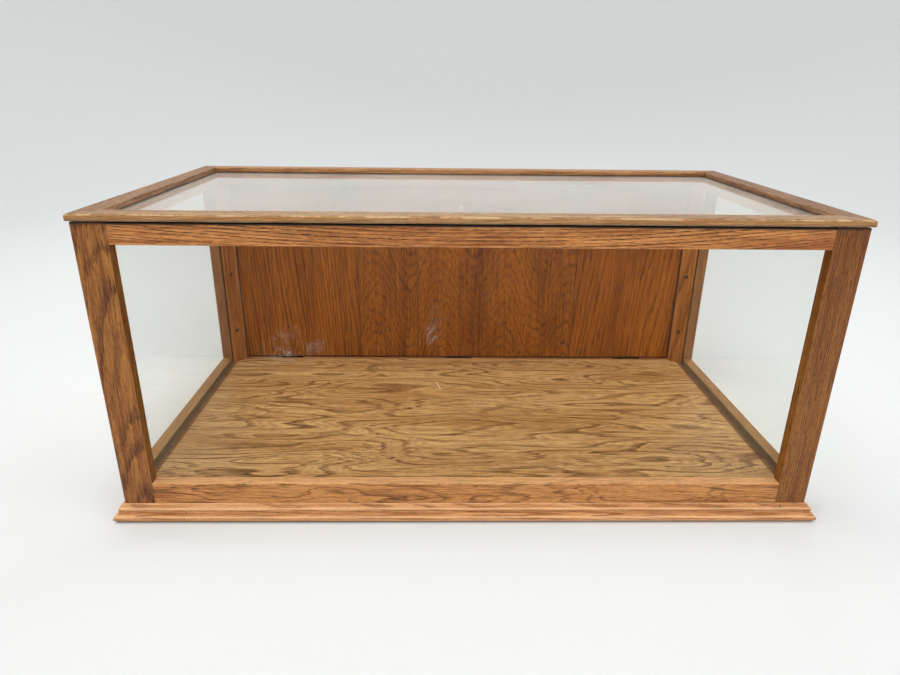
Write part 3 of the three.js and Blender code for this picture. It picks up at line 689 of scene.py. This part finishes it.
# Where the door's veneer leaves meet, in shares of its width, and how each of the three is cut.
VENEER_SEAMS = (0.268, 0.764)
LEAF_SEEDS = (0.0, 5.3, 9.7)
LEAF_SLOPES = (0.85, 0.03, -0.75)
LEAF_ARCHES = (0.004, 0.012, 0.005)
LEAF_TAPERS = (0.05, 0.26, 0.06)
LEAF_TONES = (0.98, 0.90, 1.0)
ARCH_WIDTH = 0.125
ARCH_CREST = 0.090
SEAM_DARKNESS = 0.55


def prepare_door(board):
    """Three leaves of veneer with upright grain. The middle one has nested arches."""
    graph = board.graph
    left = board.centre.x - board.half.x
    seams = [left + share * 2 * board.half.x for share in VENEER_SEAMS]
    steps = [graph.math("GREATER_THAN", board.x, seam) for seam in seams]

    def by_leaf(values):
        total = values[0]
        for step, before, after in zip(steps, values, values[1:]):
            total = graph.plus(total, graph.times(step, after - before))
        return total

    seed = graph.joined(by_leaf(LEAF_SEEDS), by_leaf(LEAF_SEEDS), 0.0)
    board.values["Seed"] = graph.vector("ADD", board.values["Seed"], seed)
    board.values["Taper"] = by_leaf(LEAF_TAPERS)
    turns = graph.times(graph.minus(board.x, ARCH_CREST), 2 * math.pi / ARCH_WIDTH)
    arches = graph.times(graph.math("COSINE", turns), by_leaf(LEAF_ARCHES))
    slope = graph.times(board.x, by_leaf(LEAF_SLOPES))
    board.values["Figure"] = graph.minus(slope, arches)
    board.paint()
    tone = graph.joined(by_leaf(LEAF_TONES), by_leaf(LEAF_TONES), by_leaf(LEAF_TONES))
    board.colour = graph.vector("MULTIPLY", board.colour, tone)
    for seam in seams:
        line = graph.fall(graph.apart(board.x, seam), 0.4 * MM, 1.6 * MM)
        board.cover(graph.times(line, SEAM_DARKNESS), SHADE_AND_MARK_COLOUR)


FLOOR_STRIP_WIDTH = 6 * MM
FLOOR_STRIP_FADE = 3 * MM
FLOOR_STRIP_COLOUR = colour(92, 50, 24)
FLOOR_STRIP_SHARE = 0.75
FLOOR_SWELL_CELLS = (1.1, 4.5, 1.0)
FLOOR_SWELL = 0.12
FLOOR_SLOPE = 0.16
CRUMB_CELLS = (380, 380, 380)
CRUMB_COLOUR = colour(196, 190, 170)
CRUMB_SHARE = 0.6

# The floor's scratch runs between two points, given in shares of its two sides.
SCRATCH_START = (0.449, 0.756)
SCRATCH_END = (0.459, 0.670)
SCRATCH_COLOUR = colour(232, 212, 180)
SCRATCH_SHARE = 0.7


def prepare_floor(board):
    """Wild rotary-cut veneer, with a darker strip and crumbs of dust along its side edges."""
    graph = board.graph
    swell = graph.around_zero(graph.noise(board.place, FLOOR_SWELL_CELLS, 1), FLOOR_SWELL)
    board.values["Figure"] = graph.plus(swell, graph.times(board.y, FLOOR_SLOPE))
    board.paint()
    to_edge = graph.minus(board.half.x, graph.apart(board.x, board.centre.x))
    strip = graph.fall(to_edge, FLOOR_STRIP_WIDTH, FLOOR_STRIP_WIDTH + FLOOR_STRIP_FADE)
    board.cover(graph.times(strip, FLOOR_STRIP_SHARE), FLOOR_STRIP_COLOUR)
    is_top = graph.rise(board.facing((0, 0, 1)), *SIDE_FACING)
    crumbs = graph.rise(graph.noise(board.place, CRUMB_CELLS, 2), 0.62, 0.70)
    crumbs = graph.times(crumbs, graph.fall(to_edge, 0.0, 2 * FLOOR_STRIP_WIDTH))
    crumbs = graph.times(crumbs, is_top)
    board.cover(graph.times(crumbs, CRUMB_SHARE), CRUMB_COLOUR)
    line = graph.times(scratch(board, SCRATCH_START, SCRATCH_END), is_top)
    board.cover(graph.times(line, SCRATCH_SHARE), SCRATCH_COLOUR)


def point_on(board, shares):
    """The point of a floor at two shares of its sides, from its left front corner."""
    along, back = shares
    corner = board.centre - board.half
    return Vector((corner.x + along * 2 * board.half.x, corner.y + back * 2 * board.half.y, 0))


def scratch(board, start, end):
    """1 on a thin straight line between two points of a floor, fading at both its ends."""
    graph = board.graph
    first = point_on(board, start)
    last = point_on(board, end)
    span = (last - first).length
    along = (last - first) / span
    across = Vector((-along.y, along.x, 0))
    from_first = graph.vector("SUBTRACT", board.place, first)
    past_ends = graph.apart(graph.dot(from_first, along), span / 2)
    inside = graph.fall(past_ends, span * 0.4, span * 0.5)
    aside = graph.math("ABSOLUTE", graph.dot(from_first, across))
    return graph.times(inside, graph.fall(aside, 0.2 * MM, 1.1 * MM))


UPPER_RAIL_ARCH = -0.14


def prepare_upper_rail(board):
    """Its grain rises from both ends to the middle, in one long arch."""
    graph = board.graph
    board.values["Figure"] = graph.times(graph.times(board.x, board.x), UPPER_RAIL_ARCH)
    board.paint()


# Filled nail holes, in shares of a piece's length and of its height.
LOWER_RAIL_NAILS = ((0.06, 0.30), (0.27, 0.32), (0.84, 0.40))
MOULDING_NAILS = ((0.10, 0.52), (0.23, 0.52), (0.95, 0.86))
NAIL_RADIUS = 1.3 * MM
NAIL_DARKNESS = 0.8


def add_nails(board, nails):
    """Dark round spots on the front of a long piece."""
    graph = board.graph
    for along, up in nails:
        x = board.centre.x + (2 * along - 1) * board.half.x
        z = board.centre.z + (2 * up - 1) * board.half.z
        from_nail = graph.vector("SUBTRACT", board.place, (x, 0, z))
        distance = graph.length(graph.vector("MULTIPLY", from_nail, (1, 0, 1)))
        spot = graph.fall(distance, 0.5 * NAIL_RADIUS, NAIL_RADIUS)
        board.cover(graph.times(spot, NAIL_DARKNESS), SHADE_AND_MARK_COLOUR)


def prepare_lower_rail(board):
    board.paint()
    add_nails(board, LOWER_RAIL_NAILS)


# How dark the painted shade is in the gap beside the door.
OPENING_SHADE = 0.6


def prepare_rear_post(board):
    """Painted shade along the edge that the door shuts against, in the gap beside the door."""
    board.paint()
    graph = board.graph
    opening = abs(board.centre.x) - board.half.x
    past = graph.minus(graph.math("ABSOLUTE", board.x), opening)
    gap_shade = graph.fall(past, 0.5 * MM, 1.5 * MM)
    board.cover(graph.times(gap_shade, OPENING_SHADE), SHADE_AND_MARK_COLOUR)


# How high the rounded crests of the base moulding are above its lower edge.
MOULDING_CRESTS = (2.6 * MM, 8.0 * MM, 17.6 * MM)
CREST_HIGHLIGHT_CELLS = (30, 30, 30)
CREST_HIGHLIGHT = 0.65
CREST_HIGHLIGHT_REACH = 2.2 * MM
CREST_HIGHLIGHT_LEAST = 0.2 * MM


def prepare_moulding(board):
    """Painted highlights along the crests of its beads, in its worn colour, and a painted contact shadow
    along its foot.
    """
    board.paint()
    graph = board.graph
    base = board.centre.z - board.half.z
    # Painted contact shadow along the moulding's foot, kept off its underside.
    painted_contact_shadow = graph.fall(graph.minus(board.z, base), 0.5 * MM, 1.6 * MM)
    not_under = graph.fall(board.facing((0, 0, -1)), *SIDE_FACING)
    board.cover(graph.times(painted_contact_shadow, not_under), SHADE_AND_MARK_COLOUR)
    # Painted highlights along the crests of the beads.
    patches = graph.noise(board.place, CREST_HIGHLIGHT_CELLS, 4, 0.7)
    reach = graph.plus(graph.times(patches, CREST_HIGHLIGHT_REACH), CREST_HIGHLIGHT_LEAST)
    for crest in MOULDING_CRESTS:
        worn = graph.fall(graph.apart(board.z, base + crest), 0.0, reach)
        board.cover(graph.times(worn, CREST_HIGHLIGHT), board.values["Worn"])
    if board.grain == "x":
        add_nails(board, MOULDING_NAILS)


PREPARED = {
    "rear_door": prepare_door,
    "floor_panel": prepare_floor,
    "front_upper_rail": prepare_upper_rail,
    "front_lower_rail": prepare_lower_rail,
    "rear_left_post": prepare_rear_post,
    "rear_right_post": prepare_rear_post,
    "base_moulding_front": prepare_moulding,
    "base_moulding_left": prepare_moulding,
    "base_moulding_right": prepare_moulding,
}


def oak_material(name, slot, group, seed):
    board = Board(name, slot, group, seed)
    PREPARED.get(name, Board.paint)(board)
    return board.finished()


# ---- Glass, metals and plastic ----

GLASS_COLOUR = (0.966, 0.988, 0.976, 1)
GLASS_EDGE_AND_SHADE_COLOUR = colour(30, 46, 38)
GLASS_SHADOW_COLOUR = (0.96, 0.98, 0.97, 1)
DUST_COLOUR = (0.78, 0.75, 0.69, 1)

# Noise densities in cells a metre.
SPECK_CELLS = (420, 420, 420)
FILM_CELLS = (6, 6, 6)
DUST_LINE_CELLS = (160, 160, 60)
STROKE_CELLS = (26, 26, 26)
STROKE_PATCH_CELLS = (34, 34, 34)

SPECK_SHARE = 0.08
FILM_AT_A_SLANT = 4.0
DUST_LINE_HEIGHT = 8 * MM
DUST_LINE_SHARE = 0.10
STROKE_WIDTH = 0.03
STROKE_SHARE = 0.26
SMUDGE_FILM = 0.008

# The finger marks on the front pane: each patch's place, in shares of the pane's width and height,
# and its half width and half height.
SMUDGES = (((0.245, 0.60), (0.055, 0.035)), ((0.448, 0.66), (0.014, 0.045)))

# How strongly each pane mirrors, as an index of refraction, and how much dust film it holds.
PANES = {
    "top_glass": (1.5, 0.12),
    "front_glass": (1.12, 0.0),
    "left_glass": (1.4, 0.02),
    "right_glass": (1.4, 0.02),
}


def dust(graph, place, film_share):
    """Specks, a film that looks denser at a slant, and a ragged line just over the case's floor."""
    specks = graph.rise(graph.noise(place, SPECK_CELLS, 1), 0.76, 0.82)
    film = graph.rise(graph.noise(place, FILM_CELLS, 3, 0.6), -0.6, 1.6)
    slant = graph.node("ShaderNodeLayerWeight", {"Blend": 0.5}).outputs["Facing"]
    deeper = graph.plus(graph.times(graph.times(slant, slant), FILM_AT_A_SLANT), 1.0)
    film = graph.times(graph.times(film, film_share), deeper)
    height = graph.minus(graph.split(place)[2], floor_top)
    ragged = graph.rise(graph.noise(place, DUST_LINE_CELLS, 4, 0.7), 0.3, 0.75)
    line = graph.fall(height, 0.0, graph.times(ragged, DUST_LINE_HEIGHT))
    return graph.plus(
        graph.plus(graph.times(specks, SPECK_SHARE), film),
        graph.times(line, DUST_LINE_SHARE),
    )


def finger_marks(graph, place, low, high, shares, half_size):
    """One patch of curling strokes on a pane whose box goes from low to high."""
    across, up = shares
    centre = Vector((low.x + across * (high.x - low.x), low.y, low.z + up * (high.z - low.z)))
    swirl = graph.noise(place, STROKE_CELLS, 2)
    swirled = graph.vector("ADD", place, graph.joined(swirl, 0.0, swirl))
    strokes = graph.fall(graph.apart(graph.noise(swirled, STROKE_CELLS, 2, 0.5), 0.5), 0.0, STROKE_WIDTH)
    from_centre = graph.vector("SUBTRACT", place, centre)
    distance = graph.length(graph.vector("DIVIDE", from_centre, (half_size[0], 1.0, half_size[1])))
    patchy = graph.rise(graph.noise(place, STROKE_PATCH_CELLS, 2, 0.6), 0.40, 0.6)
    marks = graph.plus(graph.times(strokes, STROKE_SHARE), SMUDGE_FILM)
    return graph.times(graph.fall(distance, 0.2, 1.0), graph.times(marks, patchy))


def pane_edges(graph, name):
    """1 on the narrow sides of a pane, and 0 on its two faces."""
    half = place_on(name)[1]
    thin = next(axis for axis in AXES.values() if half.dot(axis) == min(half))
    facing = graph.math("ABSOLUTE", graph.dot(graph.normal(), thin))
    return graph.math("LESS_THAN", facing, 0.3)


def glass_material(name):
    """Clear glass with dark edges, partly the green of the glass and partly painted shade for the
    gaps they stand in, dust, and on the front pane finger marks. Lamps shine straight through it."""
    mirror, film_share = PANES[name]
    material, graph, shader = new_material(
        name,
        Base_Color=GLASS_COLOUR,
        Transmission_Weight=1.0,
        Roughness=0.0,
        IOR=mirror,
    )
    place = graph.place()
    haze = dust(graph, place, film_share)
    if name == "front_glass":
        for shares, half_size in SMUDGES:
            haze = graph.plus(haze, finger_marks(graph, place, *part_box(name), shares, half_size))
    dull = graph.node("ShaderNodeBsdfDiffuse", {"Color": DUST_COLOUR}).outputs[0]
    green = graph.node("ShaderNodeBsdfDiffuse", {"Color": GLASS_EDGE_AND_SHADE_COLOUR}).outputs[0]
    open_to_light = graph.node("ShaderNodeBsdfTransparent", {"Color": GLASS_SHADOW_COLOUR}).outputs[0]
    is_shadow = graph.node("ShaderNodeLightPath").outputs["Is Shadow Ray"]
    glass = graph.mixed(haze, shader.outputs[0], dull)
    # Dark narrow sides: partly the glass's green, partly painted shade in the gaps round the panes.
    glass = graph.mixed(pane_edges(graph, name), glass, green)
    glass = graph.mixed(is_shadow, glass, open_to_light)
    graph.feed(material.node_tree.nodes["Material Output"].inputs["Surface"], glass)
    return material


FINE_BUMP = 0.05 * MM
METAL_PATCH_CELLS = (120, 120, 120)
METAL_SCRATCH_CELLS = (2600, 340, 340)
PLASTIC_GRAIN_CELLS = (1500, 1500, 1500)
PLASTIC_PATCH_CELLS = (60, 60, 60)
PLASTIC_DARK = colour(62, 42, 28)
PLASTIC_LIGHT = colour(84, 60, 42)


def metal_material(name, base, roughness, metallic, spread):
    """Metal with fine scratches and uneven shine."""
    material, graph, shader = new_material(name, Metallic=metallic)
    place = graph.place()
    patches = graph.noise(place, METAL_PATCH_CELLS, 4, 0.6)
    scratches = graph.noise(place, METAL_SCRATCH_CELLS, 2)
    uneven = graph.plus(graph.around_zero(patches, spread), graph.around_zero(scratches, spread))
    graph.feed(shader.inputs["Roughness"], graph.plus(uneven, roughness))
    worn = tuple(min(1.0, channel * 1.6 + 0.02) for channel in base[:3]) + (1.0,)
    graph.feed(shader.inputs["Base Color"], graph.blend(graph.rise(patches, 0.42, 0.7), base, worn))
    graph.bump(shader, scratches, 0.2, FINE_BUMP)
    return material


def plastic_material():
    """Brown moulded plastic with a fine grained face."""
    material, graph, shader = new_material("brown_plastic", Specular_IOR_Level=0.45)
    place = graph.place()
    grain = graph.noise(place, PLASTIC_GRAIN_CELLS, 2)
    patches = graph.noise(place, PLASTIC_PATCH_CELLS, 3)
    graph.feed(shader.inputs["Base Color"], graph.blend(patches, PLASTIC_DARK, PLASTIC_LIGHT))
    graph.feed(shader.inputs["Roughness"], graph.plus(graph.around_zero(patches, 0.2), 0.5))
    graph.bump(shader, grain, 0.3, FINE_BUMP)
    return material


# ---- Shapes ----

MERGE_DISTANCE = 0.001 * MM
LESSER_ROUNDING = 0.25


def smoothing_group():
    """Geometry nodes that weld a mesh's split corners, smooth it except at its sharp edges, and say
    how much each sharp edge is rounded: fully along the grain on the outward side, else less."""
    inputs = {"Geometry": "Geometry", "Grain": "Vector", "Outward": "Vector", "Beyond": "Float"}
    outputs = {"Geometry": "Geometry"}
    graph, given, result = new_group("weld_and_smooth", inputs, outputs, "GeometryNodeTree")
    bare = graph.node("GeometryNodeRemoveAttribute", {"Geometry": given["Geometry"], "Name": "custom_normal"})
    welded = graph.node("GeometryNodeMergeByDistance", {
        "Geometry": bare.outputs[0],
        "Distance": MERGE_DISTANCE,
    })
    faces = graph.node("GeometryNodeSetShadeSmooth", {"Geometry": welded.outputs[0]}, domain="FACE")
    angle = graph.node("GeometryNodeInputMeshEdgeAngle").outputs["Unsigned Angle"]
    is_soft = graph.node("FunctionNodeCompare", {0: angle, 1: SMOOTH_UNDER}, operation="LESS_THAN").outputs[0]
    edges = graph.node("GeometryNodeSetShadeSmooth", {
        "Geometry": faces.outputs[0],
        "Shade Smooth": is_soft,
    }, domain="EDGE")
    ends = graph.node("GeometryNodeInputMeshEdgeVertices").outputs
    first = ends["Position 1"]
    run = graph.vector("NORMALIZE", graph.vector("SUBTRACT", first, ends["Position 2"]))
    along = graph.math("ABSOLUTE", graph.dot(run, given["Grain"]))
    is_long = graph.math("GREATER_THAN", along, 0.9)
    is_outer = graph.math("GREATER_THAN", graph.dot(first, given["Outward"]), given["Beyond"])
    fully = graph.times(graph.times(is_long, is_outer), 1 - LESSER_ROUNDING)
    is_sharp = graph.math("GREATER_THAN", angle, SMOOTH_UNDER)
    weight = graph.times(graph.plus(fully, LESSER_ROUNDING), is_sharp)
    stored = graph.node("GeometryNodeStoreNamedAttribute", {
        "Geometry": edges.outputs[0],
        "Name": "bevel_weight_edge",
        "Value": weight,
    }, data_type="FLOAT", domain="EDGE")
    graph.feed(result.inputs[0], stored.outputs[0])
    return graph.tree


# The pieces with a well rounded side, which way it faces, and its radius.
ROUNDED_SIDES = {
    "top_frame_front": ((0, -1, 0), 2.4 * MM),
    "top_frame_back": ((0, 1, 0), 2.4 * MM),
    "top_frame_left": ((-1, 0, 0), 2.4 * MM),
    "top_frame_right": ((1, 0, 0), 2.4 * MM),
    "front_lower_rail": ((0, 0, 1), 1.8 * MM),
}
STEEL_ROUNDING = 0.12 * MM
FINE_ROUNDING = 0.3 * MM
USUAL_ROUNDING = 0.9 * MM


def edge_rounding(name, slot):
    """The radius of a piece's roundest edges."""
    if name in ROUNDED_SIDES:
        return ROUNDED_SIDES[name][1]
    if slot.endswith("steel"):
        return STEEL_ROUNDING
    if slot == "clear_glass" or name.startswith("base_moulding") or name == "door_knob":
        return FINE_ROUNDING
    return USUAL_ROUNDING


def soften(name, slot, group):
    """Welds and smooths a CAD node, and rounds its sharp edges."""
    piece = nodes[name]
    weld = piece.modifiers.new("weld_and_smooth", "NODES")
    weld.node_group = group
    outward = Vector(ROUNDED_SIDES[name][0] if name in ROUNDED_SIDES else (0, 0, 0))
    grain = AXES[BOARDS[name][0]] if name in BOARDS else AXES["x"]
    centre, half = place_on(name)
    reach = sum(abs(size * way) for size, way in zip(half, outward))
    beyond = centre.dot(outward) + reach - 0.5 * MM if outward.length else -1.0
    values = {"Grain": grain, "Outward": outward, "Beyond": beyond}
    for socket in group.interface.items_tree:
        if socket.name in values:
            weld[socket.identifier] = values[socket.name]
    bevel = piece.modifiers.new("worn_edges", "BEVEL")
    bevel.width = edge_rounding(name, slot)
    bevel.segments = 4
    bevel.limit_method = "WEIGHT"
    bevel.harden_normals = True
    bevel.use_clamp_overlap = True


# ---- Small steel pieces that the CAD model leaves out ----

# Hinge screws stand either side of a leaf's middle, and back from the front edge of the frame leaf.
HINGES = ("hinge_left", "hinge_middle", "hinge_right")
HINGE_SCREW_SPREAD = 16 * MM
HINGE_SCREW_BACK = 7.5 * MM
HINGE_SCREW_RADIUS = 3.1 * MM
LEAF_GAP = 0.4 * MM

# Catch screws stand either side of a catch's middle, and below its top, on tabs that stand proud
# of the rail. The middle of its housing is given above its lower edge.
CATCH_SCREW_SPREAD = 14 * MM
CATCH_SCREW_DROP = 5.2 * MM
CATCH_SCREW_RADIUS = 2.8 * MM
TAB_THICKNESS = 1.9 * MM
HOUSING_MIDDLE = 6.5 * MM
POLE_SIZE = (30 * MM, 1.0 * MM, 1.3 * MM)
MAGNET_SIZE = (28 * MM, 1.0 * MM, 4.6 * MM)

# A screw's head is let into its piece, and stands a little proud of it.
SCREW_SUNK = 0.3 * MM
SCREW_PROUD = 0.08 * MM
SLOT_HALF_WIDTH = 0.45 * MM
SCREW_ROUNDING = 0.04 * MM
BLOCK_ROUNDING = 0.15 * MM
ARC_STEPS = 14
INWARD = (0, -1, 0)

# How far the slots are turned, in radians, so that neighbours differ.
HINGE_TURN = 0.9
HINGE_SCREW_TURN = 1.7
DOOR_LEAF_TURN = 0.8
CATCH_TURN = 0.5
CATCH_SCREW_TURN = 1.3
STRIKE_TURN = 1.1


def add_piece(name, shape, body, slot, rounding):
    """A new piece that rides on a CAD body."""
    piece = new_object(name, new_mesh(name, shape, shared_materials[slot]))
    bevel = piece.modifiers.new("worn_edges", "BEVEL")
    bevel.width = rounding
    bevel.segments = 3
    bevel.limit_method = "ANGLE"
    bevel.angle_limit = SMOOTH_UNDER
    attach(piece, body)


def add_screw(name, place, outward, radius, turn, body, slot):
    """The flush head of a slotted screw: two half moons with the slot between them."""
    shape = bmesh.new()
    start = math.asin(SLOT_HALF_WIDTH / radius)
    for half_turn in (0, math.pi):
        rim = []
        for step in range(ARC_STEPS + 1):
            angle = half_turn + start + (math.pi - 2 * start) * step / ARC_STEPS
            rim.append(shape.verts.new((radius * math.cos(angle), radius * math.sin(angle), -SCREW_SUNK)))
        face = shape.faces.new(rim)
        raised = bmesh.ops.extrude_face_region(shape, geom=[face])["geom"]
        top = [item for item in raised if isinstance(item, bmesh.types.BMVert)]
        bmesh.ops.translate(shape, verts=top, vec=(0, 0, SCREW_SUNK + SCREW_PROUD))
    lean = Vector(outward).to_track_quat("Z", "Y").to_matrix().to_4x4()
    shape.transform(Matrix.Translation(place) @ lean @ Matrix.Rotation(turn, 4, "Z"))
    add_piece(name, shape, body, slot, SCREW_ROUNDING)


def add_block(name, centre, size, slot):
    """A small rounded block fixed to the case."""
    shape = bmesh.new()
    bmesh.ops.create_cube(shape, size=1.0)
    shape.transform(Matrix.Translation(centre) @ Matrix.Diagonal(Vector((*size, 1.0))))
    add_piece(name, shape, "case", slot, BLOCK_ROUNDING)


def add_hinge_screws():
    """Two screws through each leaf, seen once the door is down: heads up in the frame leaf, and
    down, towards it, in the door leaf."""
    radius = HINGE_SCREW_RADIUS
    for order, hinge in enumerate(HINGES):
        low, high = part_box(f"{hinge}_frame_leaf")
        middle = (low + high) / 2
        for number, side in enumerate((-1, 1)):
            gap = Vector((middle.x + side * HINGE_SCREW_SPREAD, low.y + HINGE_SCREW_BACK, middle.z))
            below = gap - Vector((0, 0, LEAF_GAP / 2))
            above = gap + Vector((0, 0, LEAF_GAP / 2))
            turn = HINGE_TURN * order + HINGE_SCREW_TURN * number
            frame_screw = f"{hinge}_frame_screw_{number + 1}"
            door_screw = f"{hinge}_door_screw_{number + 1}"
            add_screw(frame_screw, below, (0, 0, 1), radius, turn, "case", "black_steel")
            turn += DOOR_LEAF_TURN
            add_screw(door_screw, above, (0, 0, -1), radius, turn, "door", "black_steel")


def add_catch_screws(side, order):
    """The two screws through a catch's tabs."""
    low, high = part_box(f"catch_{side}")
    x = (low.x + high.x) / 2
    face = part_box("rear_upper_rail")[0].y - TAB_THICKNESS
    for number, way in enumerate((-1, 1)):
        name = f"catch_{side}_screw_{number + 1}"
        place = Vector((x + way * CATCH_SCREW_SPREAD, face, high.z - CATCH_SCREW_DROP))
        turn = CATCH_TURN + CATCH_SCREW_TURN * number + order
        add_screw(name, place, INWARD, CATCH_SCREW_RADIUS, turn, "case", "zinc_steel")


def add_magnet(side):
    """A catch's magnet, between its two pole strips."""
    low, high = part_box(f"catch_{side}")
    face = high.y - POLE_SIZE[1] / 2 + SCREW_PROUD
    magnet = Vector(((low.x + high.x) / 2, face, low.z + HOUSING_MIDDLE))
    add_block(f"catch_{side}_magnet", magnet, MAGNET_SIZE, "dark_steel")
    for label, way in (("upper", 1), ("lower", -1)):
        pole = magnet + Vector((0, 0, way * (MAGNET_SIZE[2] + POLE_SIZE[2]) / 2))
        add_block(f"catch_{side}_{label}_pole", pole, POLE_SIZE, "zinc_steel")


def add_strike_screw(side, order):
    """The screw in the middle of a strike plate."""
    low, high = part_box(f"strike_plate_{side}")
    place = Vector(((low.x + high.x) / 2, low.y, (low.z + high.z) / 2))
    name = f"strike_plate_{side}_screw"
    add_screw(name, place, INWARD, CATCH_SCREW_RADIUS, STRIKE_TURN + order, "door", "zinc_steel")


# ---- The whole model ----

slots = {part["node"]: part["material_slot"] for part in frame["record"]["subparts"]}
# Each metal's colour, roughness, how metallic it is, and how uneven its roughness is.
shared_materials = {
    "black_steel": metal_material("black_steel", colour(20, 18, 16), 0.55, 0.35, 0.25),
    "dark_steel": metal_material("dark_steel", colour(74, 66, 54), 0.42, 0.9, 0.3),
    "zinc_steel": metal_material("zinc_steel", colour(186, 186, 180), 0.34, 1.0, 0.2),
    "brown_plastic": plastic_material(),
}
oak = oak_group(edge_distance_group())
weld_and_smooth = smoothing_group()

add_camera()
add_lights()
add_stage()

for seed, (name, slot) in enumerate(sorted(slots.items())):
    if name in PANES:
        material = glass_material(name)
    elif slot in shared_materials:
        material = shared_materials[slot]
    else:
        material = oak_material(name, slot, oak, seed)
    nodes[name].material_slots[0].material = material
    soften(name, slot, weld_and_smooth)

add_hinge_screws()
for order, side in enumerate(("left", "right")):
    add_catch_screws(side, order)
    add_magnet(side)
    add_strike_screw(side, order)

bpy.context.scene.view_settings.view_transform = "Standard"
